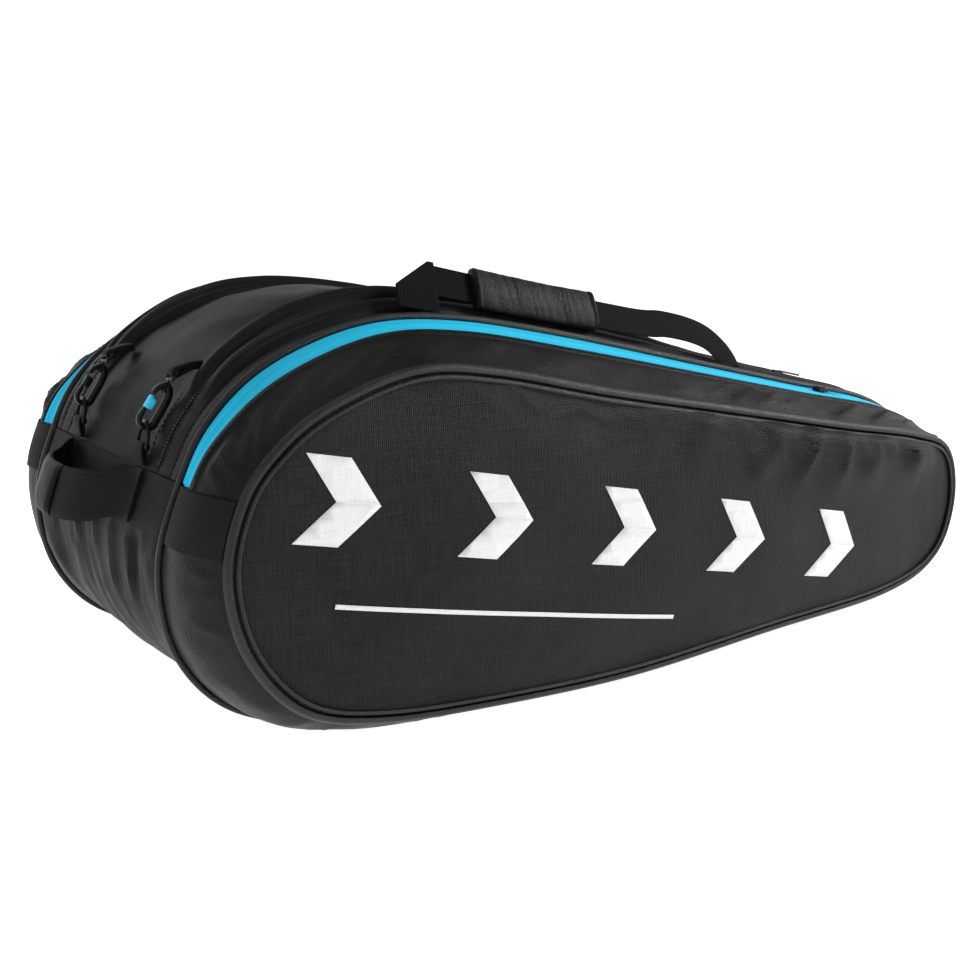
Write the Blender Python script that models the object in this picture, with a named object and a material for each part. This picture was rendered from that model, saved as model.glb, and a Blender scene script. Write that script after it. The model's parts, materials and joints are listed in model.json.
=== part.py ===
"""Racket tournament bag: two main compartments between two side pockets, in metres, +Z up.

X runs along the bag, with the big end at -X. Y runs across it, with the printed side at -Y.
The bag rests on the flat underside of its main gusset at Z = 0.
"""

import math

import bmesh
import bpy
from mathutils import Matrix, Vector

for old in list(bpy.data.objects):
    bpy.data.objects.remove(old, do_unlink=True)

# Gaps and walls
GAP = 0.0004
SHELL = 0.004
STEPS = 3

# Across the bag
PANEL_Y = 0.2045
SEAM_Y = 0.136
DIVIDER_T = 0.0048
CORD_R = 0.0026
RIM = 0.003
PANEL_T = 0.0035
DOME = 0.010
CROWN = 0.005
POCKET_BULGE_TOP = 0.003
POCKET_BULGE_END = 0.009

# Along the gusset, as distances from the middle plane
CENTRE_EDGE = 0.0777
MAIN_ZIP_Y = 0.098
STRIP_EDGE = 0.1180
POCKET_ZIP_Y = 0.1510
POCKET_EDGE = 0.1592
FLAP_H = 0.0075

# The fold line, where the lids hinge and all the zips end
FOLD_LEFT = Vector((-0.372, 0.0, 0.187))
FOLD_RIGHT = Vector((0.372, 0.0, 0.094))
HINGE_Y = 0.2170

# Webbing
BAND_W = 0.037
BAND_T = 0.0018
GRAB_T = 0.0028
GRAB_OUT = 0.034
GRAB_HALF = 0.052
GRAB_FOOT = 0.030
WEB_W = 0.036

# Carry handles
HANDLE_Y = 0.1258
HANDLE_X = (-0.192, 0.120)
HANDLE_H = 0.042
HANDLE_BAR = 0.026
HANDLE_T = 0.0026
HANDLE_LIFT = 0.0036
FRONT_LEAN = 32.0
REAR_LEAN = -72.0
GRIP_X = (-0.110, 0.008)

# Snap hooks
HOOK_Y = {-1: 0.0725, 1: 0.0620}
HOOK_SCALE = 0.0008
HOOK_HIGH = 0.2440

# Side outlines as (x, z), round from the big end and over the top: at the panel and at the seam
PANEL_LINE = (
    (-0.360, 0.134), (-0.350, 0.178), (-0.329, 0.208), (-0.290, 0.235), (-0.225, 0.2545),
    (-0.160, 0.2495), (-0.060, 0.2280), (0.070, 0.2033), (0.200, 0.1786), (0.297, 0.1615),
    (0.346, 0.1425), (0.360, 0.094), (0.338, 0.044), (0.270, 0.020), (0.120, 0.013),
    (-0.030, 0.0065), (-0.160, 0.0115), (-0.255, 0.021), (-0.312, 0.040), (-0.348, 0.083),
)
SEAM_LINE = (
    (-0.377, 0.129), (-0.361, 0.182), (-0.338, 0.223), (-0.296, 0.257), (-0.228, 0.2795),
    (-0.155, 0.2800), (-0.052, 0.2625), (0.078, 0.2340), (0.208, 0.2056), (0.305, 0.1843),
    (0.357, 0.154), (0.376, 0.097), (0.350, 0.034), (0.275, 0.005), (0.122, 0.000),
    (-0.030, 0.000), (-0.160, 0.000), (-0.262, 0.003), (-0.330, 0.025), (-0.368, 0.070),
)
AROUND = len(SEAM_LINE) * STEPS

FOLD_DIR = (FOLD_RIGHT - FOLD_LEFT).normalized()
FOLD_UP = Vector((-FOLD_DIR.z, 0.0, FOLD_DIR.x))
FOLD_MID = (FOLD_LEFT + FOLD_RIGHT) / 2


def material(name, colour, rough, metal=0.0):
    made = bpy.data.materials.new(name)
    made.use_nodes = True
    made.diffuse_color = (*colour, 1.0)
    shader = made.node_tree.nodes["Principled BSDF"]
    shader.inputs["Base Color"].default_value = (*colour, 1.0)
    shader.inputs["Roughness"].default_value = rough
    shader.inputs["Metallic"].default_value = metal
    return made


PANEL_CLOTH = material("panel_cloth", (0.030, 0.030, 0.032), 0.55)
GUSSET_CLOTH = material("gusset_cloth", (0.022, 0.022, 0.024), 0.45)
LINING = material("lining", (0.060, 0.065, 0.075), 0.80)
WEBBING = material("webbing", (0.010, 0.010, 0.011), 0.75)
BLUE = material("blue_tape", (0.025, 0.450, 0.720), 0.60)
BLACK_TAPE = material("black_tape", (0.012, 0.012, 0.013), 0.70)
HOOK_BLACK = material("hook_black", (0.015, 0.015, 0.016), 0.25)
SLIDER_BLACK = material("slider_black", (0.020, 0.020, 0.022), 0.35, 0.8)


def line_at(line, u):
    """Point and direction on a closed smooth curve through the named points."""
    count = len(line)
    place = (u % 1.0) * count
    start = int(place) % count
    f = place - int(place)
    p0, p1, p2, p3 = (Vector(line[(start + k) % count]) for k in (-1, 0, 1, 2))
    m1 = (p2 - p0) / 2
    m2 = (p3 - p1) / 2
    f2 = f * f
    f3 = f2 * f
    point = p1 * (2 * f3 - 3 * f2 + 1) + m1 * (f3 - 2 * f2 + f)
    point += p2 * (3 * f2 - 2 * f3) + m2 * (f3 - f2)
    way = (p1 - p2) * (6 * f2 - 6 * f) + m1 * (3 * f2 - 4 * f + 1) + m2 * (3 * f2 - 2 * f)
    return point, way.normalized()


def smooth(low, high, value):
    f = min(1.0, max(0.0, (value - low) / (high - low)))
    return f * f * (3 - 2 * f)


def shell_point(u, y, d):
    """Point at u round the bag, y across it and d outside its skin."""
    a = abs(y)
    seam, way = line_at(SEAM_LINE, u)
    out = Vector((-way.y, way.x))
    if a <= SEAM_Y:
        crown = CROWN * smooth(-0.2, 0.9, out.y) * (1 - 0.85 * smooth(0.0, 0.33, seam.x))
        base = seam + out * crown * (1 - (a / SEAM_Y) ** 2)
    else:
        panel, panel_way = line_at(PANEL_LINE, u)
        w = (a - SEAM_Y) / (PANEL_Y - SEAM_Y)
        bulge = POCKET_BULGE_END + (POCKET_BULGE_TOP - POCKET_BULGE_END) * smooth(0.3, 0.95, out.y)
        base = seam.lerp(panel, w) + out * bulge * math.sin(math.pi * min(w, 1.0))
        out = out.lerp(Vector((-panel_way.y, panel_way.x)), w).normalized()
    base.y = max(base.y, 0.0)
    base = base + out * d
    return Vector((base.x, y, max(base.y, 0.0)))


def above_fold(point):
    return (Vector((point.x, 0.0, point.z)) - FOLD_MID).dot(FOLD_UP)


def finish(name, bm, look):
    bmesh.ops.remove_doubles(bm, verts=bm.verts, dist=1e-6)
    bmesh.ops.recalc_face_normals(bm, faces=bm.faces)
    mesh = bpy.data.meshes.new(name)
    bm.to_mesh(mesh)
    bm.free()
    mesh.materials.append(look)
    obj = bpy.data.objects.new(name, mesh)
    bpy.context.scene.collection.objects.link(obj)
    return obj


def cut(bm, point, away):
    """Removes what lies on the side that away points to, and closes the cut."""
    geometry = bm.verts[:] + bm.edges[:] + bm.faces[:]
    bmesh.ops.bisect_plane(bm, geom=geometry, dist=1e-7, plane_co=point, plane_no=away, clear_outer=True)
    rims = [edge for edge in bm.edges if edge.is_boundary]
    if rims:
        bmesh.ops.holes_fill(bm, edges=rims, sides=0)
    return bm


def upper(bm):
    return cut(bm, FOLD_MID + FOLD_UP * GAP / 2, -FOLD_UP)


def lower(bm):
    return cut(bm, FOLD_MID - FOLD_UP * GAP / 2, FOLD_UP)


def ring(loop, flap=False):
    """A closed band round the whole bag from a cross-section of (y, d) corners."""
    bm = bmesh.new()
    rows = []
    for i in range(AROUND):
        row = []
        for y, d in loop:
            if flap and d > 0.001:
                base = shell_point(i / AROUND, y, 0.0)
                d = d * (0.12 + 0.88 * smooth(0.040, 0.078, above_fold(base)))
            row.append(bm.verts.new(shell_point(i / AROUND, y, d)))
        rows.append(row)
    size = len(loop)
    for i in range(AROUND):
        for k in range(size):
            near, far = rows[i], rows[(i + 1) % AROUND]
            bm.faces.new((near[k], near[(k + 1) % size], far[(k + 1) % size], far[k]))
    return bm


def strip_loop(y_start, y_end, parts, outer=0.0, inner=-SHELL):
    """The cross-section of a plain wall between two distances from the middle plane."""
    steps = [y_start + (y_end - y_start) * k / parts for k in range(parts + 1)]
    return [(y, outer) for y in steps] + [(y, inner) for y in reversed(steps)]


def plate(y_start, y_end, d):
    """A flat wall that fills the side outline."""
    bm = bmesh.new()
    rows = []
    for y in (y_start, y_end):
        rows.append([bm.verts.new(shell_point(i / AROUND, y, d)) for i in range(AROUND)])
    bm.faces.new(rows[0])
    bm.faces.new(list(reversed(rows[1])))
    for i in range(AROUND):
        j = (i + 1) % AROUND
        bm.faces.new((rows[0][i], rows[1][i], rows[1][j], rows[0][j]))
    return bm


def side_panel(sign):
    """The domed outer panel, just inside its piping cord."""
    bm = bmesh.new()
    middle = Vector((-0.030, 0.0, 0.128))
    shares = (1.0, 0.80, 0.45)
    sheets = []
    for lift in (PANEL_T, 0.0):
        rows = []
        for share in shares:
            row = []
            for i in range(AROUND):
                edge = shell_point(i / AROUND, PANEL_Y, -CORD_R - GAP)
                edge.y = 0.0
                point = middle + (edge - middle) * share
                point.y = sign * (PANEL_Y - CORD_R + GAP + lift + DOME * (1 - share**2))
                row.append(bm.verts.new(point))
            rows.append(row)
        tip = bm.verts.new((middle.x, sign * (PANEL_Y - CORD_R + GAP + lift + DOME), middle.z))
        sheets.append((rows, tip))
    for rows, tip in sheets:
        for near, far in zip(rows, rows[1:]):
            for i in range(AROUND):
                j = (i + 1) % AROUND
                bm.faces.new((near[i], near[j], far[j], far[i]))
        for i in range(AROUND):
            bm.faces.new((rows[-1][i], rows[-1][(i + 1) % AROUND], tip))
    first, second = sheets[0][0][0], sheets[1][0][0]
    for i in range(AROUND):
        j = (i + 1) % AROUND
        bm.faces.new((first[i], first[j], second[j], second[i]))
    return bm


def cord_loop(sign):
    loop = []
    for k in range(6):
        angle = math.radians(60 * k + 30)
        loop.append((sign * (PANEL_Y + CORD_R * math.sin(angle)), CORD_R * math.cos(angle)))
    return loop


def flap_loop(sign, y_start, y_end):
    """A padded zip flap, raised between its two edges."""
    span = y_end - y_start
    rise = ((0.0, 0.0008), (0.22, FLAP_H * 0.8), (0.5, FLAP_H), (0.78, FLAP_H * 0.8), (1.0, 0.0008))
    loop = [(sign * (y_start + span * f), d) for f, d in rise]
    return loop + [(sign * y_end, -SHELL), (sign * y_start, -SHELL)]


# Fixed walls
main = strip_loop(-SEAM_Y + DIVIDER_T / 2 + GAP, SEAM_Y - DIVIDER_T / 2 - GAP, 6)
finish("main_gusset_lower", lower(ring(main)), GUSSET_CLOTH)
centre = strip_loop(-CENTRE_EDGE, CENTRE_EDGE, 4)
finish("centre_strip", upper(ring(centre)), GUSSET_CLOTH)
finish("centre_divider", plate(-0.0025, 0.0025, -SHELL - GAP), LINING)

DIVIDER_IN = SEAM_Y - DIVIDER_T / 2
DIVIDER_OUT = SEAM_Y + DIVIDER_T / 2
CORD_IN = PANEL_Y - CORD_R - GAP

for side, sign in (("front", -1), ("rear", 1)):
    finish(side + "_divider_lower", lower(plate(sign * DIVIDER_IN, sign * DIVIDER_OUT, RIM)), LINING)
    finish(side + "_divider_upper", upper(plate(sign * DIVIDER_IN, sign * DIVIDER_OUT, RIM)), LINING)
    loop = strip_loop(sign * (DIVIDER_OUT + GAP), sign * CORD_IN, 2)
    finish(side + "_pocket_gusset_lower", lower(ring(loop)), GUSSET_CLOTH)
    loop = strip_loop(sign * (POCKET_EDGE + GAP), sign * CORD_IN, 2)
    finish(side + "_pocket_gusset_upper", upper(ring(loop)), GUSSET_CLOTH)
    finish(side + "_panel_lower", lower(side_panel(sign)), PANEL_CLOTH)
    finish(side + "_panel_upper", upper(side_panel(sign)), PANEL_CLOTH)
    finish(side + "_piping_lower", lower(ring(cord_loop(sign))), GUSSET_CLOTH)
    finish(side + "_piping_upper", upper(ring(cord_loop(sign))), GUSSET_CLOTH)
    # The side pocket's blue zip, half on the mouth and half on the lid
    loop = strip_loop(sign * (DIVIDER_OUT + GAP), sign * (POCKET_ZIP_Y - GAP / 2), 1, 0.0, -0.002)
    finish(side + "_pocket_zip_inner", upper(ring(loop)), BLUE)
    loop = strip_loop(sign * (POCKET_ZIP_Y + GAP / 2), sign * POCKET_EDGE, 1, 0.0, -0.002)
    finish(side + "_pocket_zip_outer", upper(ring(loop)), BLUE)
    # The main zip under its two padded flaps
    loop = strip_loop(sign * (STRIP_EDGE + GAP), sign * (DIVIDER_IN - GAP), 1)
    finish(side + "_main_strip_upper", upper(ring(loop)), GUSSET_CLOTH)
    loop = flap_loop(sign, MAIN_ZIP_Y + GAP / 2, STRIP_EDGE)
    finish(side + "_main_zip_outer", upper(ring(loop, True)), BLACK_TAPE)
    loop = flap_loop(sign, CENTRE_EDGE + GAP, MAIN_ZIP_Y - GAP / 2)
    finish(side + "_main_zip_inner", upper(ring(loop, True)), BLACK_TAPE)


def band_loop():
    """Webbing across the whole gusset, lifted over the two inner seams."""
    low = GAP
    high = RIM + GAP
    main_step = (DIVIDER_IN - GAP) / 3
    pocket_middle = (DIVIDER_OUT + GAP + CORD_IN) / 2
    sheets = []
    for edge, d in ((DIVIDER_T / 2 + 0.0010, 0.0), (DIVIDER_T / 2 + 0.0010 + BAND_T, BAND_T)):
        sheet = [(-CORD_IN, low + d), (-pocket_middle, low + d)]
        sheet += [(-SEAM_Y - edge, low + d), (-SEAM_Y - edge, high + d)]
        sheet += [(-SEAM_Y + edge, high + d), (-SEAM_Y + edge, low + d)]
        sheet += [(-2 * main_step, low + d), (-main_step, low + d), (0.0, low + d)]
        sheet += [(-y, depth) for y, depth in reversed(sheet[:-1])]
        sheets.append(sheet)
    return sheets[0] + list(reversed(sheets[1]))


for name, side in (("band_big_end", -1), ("band_small_end", 1)):
    bm = ring(band_loop())
    cut(bm, FOLD_MID - FOLD_UP * 0.0012, FOLD_UP)
    cut(bm, FOLD_MID - FOLD_UP * (0.0012 + BAND_W), -FOLD_UP)
    cut(bm, Vector((0.0, 0.0, 0.0)), Vector((-side, 0.0, 0.0)))
    finish(name, bm, WEBBING)


def u_at_height(height, low_u, high_u):
    """Where the rising big end reaches this height above the fold line."""
    for _ in range(40):
        middle = (low_u + high_u) / 2
        if above_fold(shell_point(middle, 0.0, 0.0)) < height:
            low_u = middle
        else:
            high_u = middle
    return (low_u + high_u) / 2


def strip_sides(points, thick):
    """The two edges of a strip of this thickness along a flat path."""
    sides = ([], [])
    for k, point in enumerate(points):
        before = points[max(0, k - 1)]
        after = points[min(len(points) - 1, k + 1)]
        into = (point - before).normalized() if k else (after - point).normalized()
        onto = (after - point).normalized() if k < len(points) - 1 else into
        way = (into + onto).normalized()
        out = Vector((-way.y, way.x))
        reach = thick / 2 / max(0.5, out.dot(Vector((-into.y, into.x))))
        sides[0].append(point + out * reach)
        sides[1].append(point - out * reach)
    return sides


# Grab handle on the big end: webbing feet on the band, with a squared loop standing off between them
bm = bmesh.new()
rows = []
low_u = u_at_height(-0.0012 - BAND_W + 0.0005, -0.05, 0.12)
high_u = u_at_height(-0.0017, -0.05, 0.12)
near_d = BAND_T + 2 * GAP + 0.0012 + GRAB_T / 2
path = [(-GRAB_HALF - GRAB_FOOT, near_d), (-GRAB_HALF - 0.012, near_d), (-GRAB_HALF - 0.004, near_d)]
path += [(-GRAB_HALF, near_d + 0.005), (-GRAB_HALF + 0.002, GRAB_OUT - 0.008), (-GRAB_HALF + 0.009, GRAB_OUT)]
path += [(-GRAB_HALF + 0.030, GRAB_OUT + 0.001)]
path += [(-y, d) for y, d in reversed(path)]
sides = strip_sides([Vector(p) for p in path], GRAB_T)
for one, two in zip(*sides):
    row = []
    for u, spot in ((low_u, one), (high_u, one), (high_u, two), (low_u, two)):
        skin = shell_point(u, spot.x, 0.0)
        out = (shell_point(u, spot.x, 1.0) - skin).normalized()
        away = out.lerp(Vector((-0.995, 0.0, -0.10)), smooth(0.004, 0.020, spot.y))
        row.append(bm.verts.new(skin + away * spot.y))
    rows.append(row)
for near, far in zip(rows, rows[1:]):
    for k in range(4):
        j = (k + 1) % 4
        bm.faces.new((near[k], near[j], far[j], far[k]))
bm.faces.new(rows[0])
bm.faces.new(rows[-1])
finish("grab_handle", bm, WEBBING)


def box(bm, low, high):
    corners = [Vector((x, y, z)) for x in (low[0], high[0]) for y in (low[1], high[1]) for z in (low[2], high[2])]
    verts = [bm.verts.new(corner) for corner in corners]
    for face in ((0, 1, 3, 2), (4, 6, 7, 5), (0, 4, 5, 1), (2, 3, 7, 6), (0, 2, 6, 4), (1, 5, 7, 3)):
        bm.faces.new([verts[k] for k in face])
    return verts


def ribbon(path, thick, y_start, y_end):
    """A strip that follows a path of (x, z) and spans y_start to y_end."""
    bm = bmesh.new()
    points = [Vector(p) for p in path]
    sides = strip_sides(points, thick)
    outline = sides[0] + list(reversed(sides[1]))
    count = len(points)
    first = [bm.verts.new((p.x, y_start, p.y)) for p in outline]
    second = [bm.verts.new((p.x, y_end, p.y)) for p in outline]
    size = len(outline)
    for i in range(size):
        j = (i + 1) % size
        bm.faces.new((first[i], first[j], second[j], second[i]))
    for layer in (first, second):
        for i in range(count - 1):
            bm.faces.new((layer[i], layer[i + 1], layer[size - 2 - i], layer[size - 1 - i]))
    return bm


def tube(bm, path, radius, across, closed=True, sides=6):
    """A round bar along a flat path; across is the normal of the path's plane."""
    points = [Vector(p) for p in path]
    count = len(points)
    rows = []
    for k, point in enumerate(points):
        if closed:
            way = (points[(k + 1) % count] - points[k - 1]).normalized()
        else:
            way = (points[min(count - 1, k + 1)] - points[max(0, k - 1)]).normalized()
        out = way.cross(across).normalized()
        row = []
        for s in range(sides):
            angle = 2 * math.pi * (s + 0.5) / sides
            row.append(bm.verts.new(point + out * radius * math.cos(angle) + across * radius * math.sin(angle)))
        rows.append(row)
    for k in range(count if closed else count - 1):
        near, far = rows[k], rows[(k + 1) % count]
        for s in range(sides):
            t = (s + 1) % sides
            bm.faces.new((near[s], near[t], far[t], far[s]))
    if not closed:
        bm.faces.new(rows[0])
        bm.faces.new(rows[-1])
    return bm


def put(bm, matrix):
    bmesh.ops.transform(bm, matrix=matrix, verts=bm.verts)
    return bm


def joined(obj, helper, operation):
    """A Boolean whose other mesh stays hidden."""
    helper.hide_render = True
    helper.hide_viewport = False
    helper.display_type = "WIRE"
    step = obj.modifiers.new(helper.name, "BOOLEAN")
    step.operation = operation
    step.solver = "EXACT"
    step.object = helper
    return obj


def top_frame(sign, y, x):
    """Origin on the skin above x, with X along the top line and Y across."""
    low_u, high_u = 0.30, 0.48
    for _ in range(40):
        middle = (low_u + high_u) / 2
        if shell_point(middle, sign * y, 0.0).x < x:
            low_u = middle
        else:
            high_u = middle
    here = shell_point(low_u, sign * y, 0.0)
    way = (Vector((0.208, 0.0, 0.2056)) - Vector((0.078, 0.0, 0.2340))).normalized()
    return here, way


# Zip sliders with their pullers, on the straight stretch above the small end
SLIDERS = (
    ("pocket", POCKET_ZIP_Y - 0.0022, 0.0013, 0.0042),
    ("main", MAIN_ZIP_Y - 0.0022, 0.0068, 0.0018),
)
for side, sign in (("front", -1), ("rear", 1)):
    for kind, y, lift, half in SLIDERS:
        here, way = top_frame(sign, y, 0.232)
        up = Vector((-way.z, 0.0, way.x))
        bm = bmesh.new()
        box(bm, (-0.006, -half, lift), (0.006, half, lift + 0.0040))
        body = finish(side + "_" + kind + "_slider", bm, SLIDER_BLACK)
        bm = bmesh.new()
        box(bm, (0.002, -half * 0.7, lift + 0.0030), (0.030, half * 0.7, lift + 0.0046))
        tab = finish(side + "_" + kind + "_puller_helper", bm, SLIDER_BLACK)
        turn = Matrix((
            (way.x, 0.0, up.x, here.x),
            (0.0, 1.0, 0.0, here.y),
            (way.z, 0.0, up.z, here.z),
            (0.0, 0.0, 0.0, 1.0),
        ))
        body.matrix_world = turn
        tab.matrix_world = turn
        joined(body, tab, "UNION")


def handle_frame(sign, lean):
    """Frame at the handle's anchor line: X along the top, Z up the handle at its lean."""
    left = shell_point_at_x(HANDLE_X[0] + WEB_W / 2, sign * HANDLE_Y)
    right = shell_point_at_x(HANDLE_X[1] + WEB_W / 2, sign * HANDLE_Y)
    way = (right - left).normalized()
    up = Vector((-way.z, 0.0, way.x))
    across = Vector((0.0, 1.0, 0.0))
    tip = (up * math.cos(math.radians(lean)) - across * sign * math.sin(math.radians(lean))).normalized()
    face = tip.cross(way).normalized()
    start = left + up * HANDLE_LIFT
    frame = Matrix((
        (way.x, face.x, tip.x, start.x),
        (way.y, face.y, tip.y, start.y),
        (way.z, face.z, tip.z, start.z),
        (0.0, 0.0, 0.0, 1.0),
    ))
    return frame, (right - left).length


def shell_point_at_x(x, y):
    """Point on the top skin at this x."""
    low_u, high_u = 0.16, 0.50
    for _ in range(40):
        middle = (low_u + high_u) / 2
        if shell_point(middle, y, 0.0).x < x:
            low_u = middle
        else:
            high_u = middle
    return shell_point(low_u, y, 0.0)


def handle_mesh(length):
    """A flat webbing handle: two legs and a bar, with mitred corners."""
    half = WEB_W / 2
    outline = [
        (-half, 0.0), (-half, HANDLE_H - 0.022), (half - 0.004, HANDLE_H), (length - half + 0.012, HANDLE_H),
        (length + half, HANDLE_H - 0.022), (length + half, 0.0), (length - half, 0.0),
        (length - half, 0.010), (length - half - 0.008, HANDLE_H - HANDLE_BAR),
        (half + 0.004, HANDLE_H - HANDLE_BAR), (half, HANDLE_H - HANDLE_BAR - 0.004), (half, 0.0),
    ]
    bm = bmesh.new()
    first = [bm.verts.new((x, -HANDLE_T / 2, z)) for x, z in outline]
    second = [bm.verts.new((x, HANDLE_T / 2, z)) for x, z in outline]
    size = len(outline)
    bm.faces.new(first)
    bm.faces.new(list(reversed(second)))
    for i in range(size):
        j = (i + 1) % size
        bm.faces.new((first[i], second[i], second[j], first[j]))
    return bm


for side, sign, lean in (("front", -1, FRONT_LEAN), ("rear", 1, REAR_LEAN)):
    frame, length = handle_frame(sign, lean)
    finish(side + "_handle", handle_mesh(length), WEBBING).matrix_world = frame

# Grip wrap: a sleeve round the bar of the front handle
frame, length = handle_frame(-1, FRONT_LEAN)
start = GRIP_X[0] - (HANDLE_X[0] + WEB_W / 2)
bar_low = HANDLE_H - HANDLE_BAR
bm = bmesh.new()
rows = []
for x in (start, start + GRIP_X[1] - GRIP_X[0]):
    for wide, grow in ((0.0060, 0.0045), (HANDLE_T / 2 + GAP, GAP)):
        corner = 0.0025 if wide > 0.004 else 0.0
        low, high = bar_low - grow, HANDLE_H + grow
        loop = [(-wide, low + corner), (-wide, high - corner), (-wide + corner, high), (wide - corner, high),
                (wide, high - corner), (wide, low + corner), (wide - corner, low), (-wide + corner, low)]
        if not corner:
            loop = [(-wide, low), (-wide, high), (wide, high), (wide, low)]
        rows.append([bm.verts.new((x, y, z)) for y, z in loop])
outer_a, inner_a, outer_b, inner_b = rows
for near, far in ((outer_a, outer_b), (inner_a, inner_b)):
    for i in range(len(near)):
        j = (i + 1) % len(near)
        bm.faces.new((near[i], near[j], far[j], far[i]))
for outer_row, inner_row in ((outer_a, inner_a), (outer_b, inner_b)):
    for i in range(4):
        j = (i + 1) % 4
        bm.faces.new((outer_row[2 * i], outer_row[2 * i + 1], inner_row[i]))
        bm.faces.new((outer_row[2 * i + 1], outer_row[(2 * i + 2) % 8], inner_row[j], inner_row[i]))
finish("grip_wrap", bm, GUSSET_CLOTH).matrix_world = frame


def arc(centre, radius, start, end, steps):
    found = []
    for k in range(steps + 1):
        angle = math.radians(start + (end - start) * k / steps)
        found.append((centre[0] + radius * math.cos(angle), centre[1] + radius * math.sin(angle)))
    return found


def hook_frame(sign):
    """Frame along the big end: X off the skin, Z up along it, in hook units."""
    low = shell_point(u_at_height(0.0, -0.05, 0.12), sign * HOOK_Y[sign], 0.0)
    high_u = 0.10
    for _ in range(60):
        if shell_point(high_u, sign * HOOK_Y[sign], 0.0).z < HOOK_HIGH:
            high_u += 0.001
    high = shell_point(high_u, sign * HOOK_Y[sign], 0.0)
    up = (high - low).normalized()
    off = Vector((-up.z, 0.0, up.x))
    bulge = 0.0
    for k in range(41):
        u = u_at_height(0.0, -0.05, 0.12) + k * (high_u - u_at_height(0.0, -0.05, 0.12)) / 40
        bulge = max(bulge, (shell_point(u, sign * HOOK_Y[sign], 0.0) - low).dot(off))
    scale = HOOK_SCALE
    origin = low + off * (bulge + GAP) + up * 0.0305
    return Matrix((
        (off.x * scale, 0.0, up.x * scale, origin.x),
        (off.y * scale, scale, up.y * scale, origin.y),
        (off.z * scale, 0.0, up.z * scale, origin.z),
        (0.0, 0.0, 0.0, 1.0),
    ))


HOOK_MID = 12.0
for side, sign in (("front", -1), ("rear", 1)):
    frame = hook_frame(sign)
    # Folded tab that holds the ring, sewn down at the edge of the band
    bar = (4.2, -24.0)
    path = [(-4.6, -36.2), (0.2, -29.0)] + arc(bar, 3.0, 215, -25, 6) + [(3.2, -31.0), (-2.6, -37.4)]
    tab = put(ribbon(path, 1.3, -9.0, 9.0), frame)
    finish(side + "_ring_tab", tab, WEBBING)
    # Ring through the tab and the hook
    top = Vector((HOOK_MID, 0.0, -4.6))
    low = Vector((bar[0], 0.0, bar[1]))
    tall = (top - low).length
    up = (top - low).normalized()
    corners = [(-10.8, 0.0), (10.8, 0.0), (10.8, tall * 0.45), (7.5, tall * 0.85), (3.0, tall), (-3.0, tall), (-7.5, tall * 0.85), (-10.8, tall * 0.45)]
    path = [low + Vector((0.0, y, 0.0)) + up * z for y, z in corners]
    across = up.cross(Vector((0.0, 1.0, 0.0))).normalized()
    finish(side + "_ring", put(tube(bmesh.new(), path, 1.6, across), frame), HOOK_BLACK)
    # Hook frame, open where the gate sits
    reach = 9.0
    path = [(HOOK_MID + reach, 6.0)]
    path += arc((HOOK_MID, 0.0), reach, 0, -180, 8)
    path += [(HOOK_MID - reach, 22.0), (HOOK_MID - 4.0, 30.0), (HOOK_MID + 4.0, 30.0), (HOOK_MID + reach, 24.0), (HOOK_MID + reach, 19.0)]
    body = finish(side + "_hook", put(ribbon(path, 4.0, -2.5, 2.5), frame), HOOK_BLACK)
    bm = tube(bmesh.new(), [(HOOK_MID, 0.0, 24.0), (HOOK_MID, 0.0, 36.0)], 2.1, Vector((0.0, 1.0, 0.0)), False, 10)
    joined(body, finish(side + "_hook_bore", put(bm, frame), HOOK_BLACK), "DIFFERENCE")
    # Gate with its thumb stud
    bm = bmesh.new()
    box(bm, (HOOK_MID + reach - 1.6, -2.5, 6.5), (HOOK_MID + reach + 1.6, 2.5, 18.5))
    gate = finish(side + "_hook_gate", put(bm, frame), BLUE if sign < 0 else HOOK_BLACK)
    # Swivel eye with its stem and head
    path = [(HOOK_MID, -6.5, 36.5), (HOOK_MID, 6.5, 36.5), (HOOK_MID, 8.0, 40.0), (HOOK_MID, 6.5, 44.5), (HOOK_MID, -6.5, 44.5), (HOOK_MID, -8.0, 40.0)]
    eye = finish(side + "_swivel_eye", put(tube(bmesh.new(), path, 1.5, Vector((1.0, 0.0, 0.0))), frame), HOOK_BLACK)
    bm = tube(bmesh.new(), [(HOOK_MID, 0.0, 26.6), (HOOK_MID, 0.0, 37.0)], 1.5, Vector((0.0, 1.0, 0.0)), False, 10)
    joined(eye, finish(side + "_stem_helper", put(bm, frame), HOOK_BLACK), "UNION")
    bm = tube(bmesh.new(), [(HOOK_MID, 0.0, 24.6), (HOOK_MID, 0.0, 27.4)], 3.0, Vector((0.0, 1.0, 0.0)), False, 10)
    joined(eye, finish(side + "_head_helper", put(bm, frame), HOOK_BLACK), "UNION")
    # Fabric loop from the end of the flap through the eye
    path = [(-4.5, 60.0), (2.4, 54.5)] + arc((HOOK_MID, 44.5), 2.8, 200, 395, 6) + [(4.2, 57.4), (-2.8, 63.0)]
    loop = put(ribbon(path, 1.3, -5.0, 5.0), frame)
    finish(side + "_hook_loop", loop, WEBBING)


def strap_frame(height):
    """Frame on the rear panel: X along the fold line, Z away from the bag, Y up the panel."""
    origin = FOLD_MID + FOLD_UP * height + Vector((0.0, STRAP_Y, 0.0))
    return Matrix((
        (FOLD_DIR.x, FOLD_UP.x, 0.0, origin.x),
        (FOLD_DIR.y, FOLD_UP.y, 1.0, origin.y),
        (FOLD_DIR.z, FOLD_UP.z, 0.0, origin.z),
        (0.0, 0.0, 0.0, 1.0),
    ))


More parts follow.
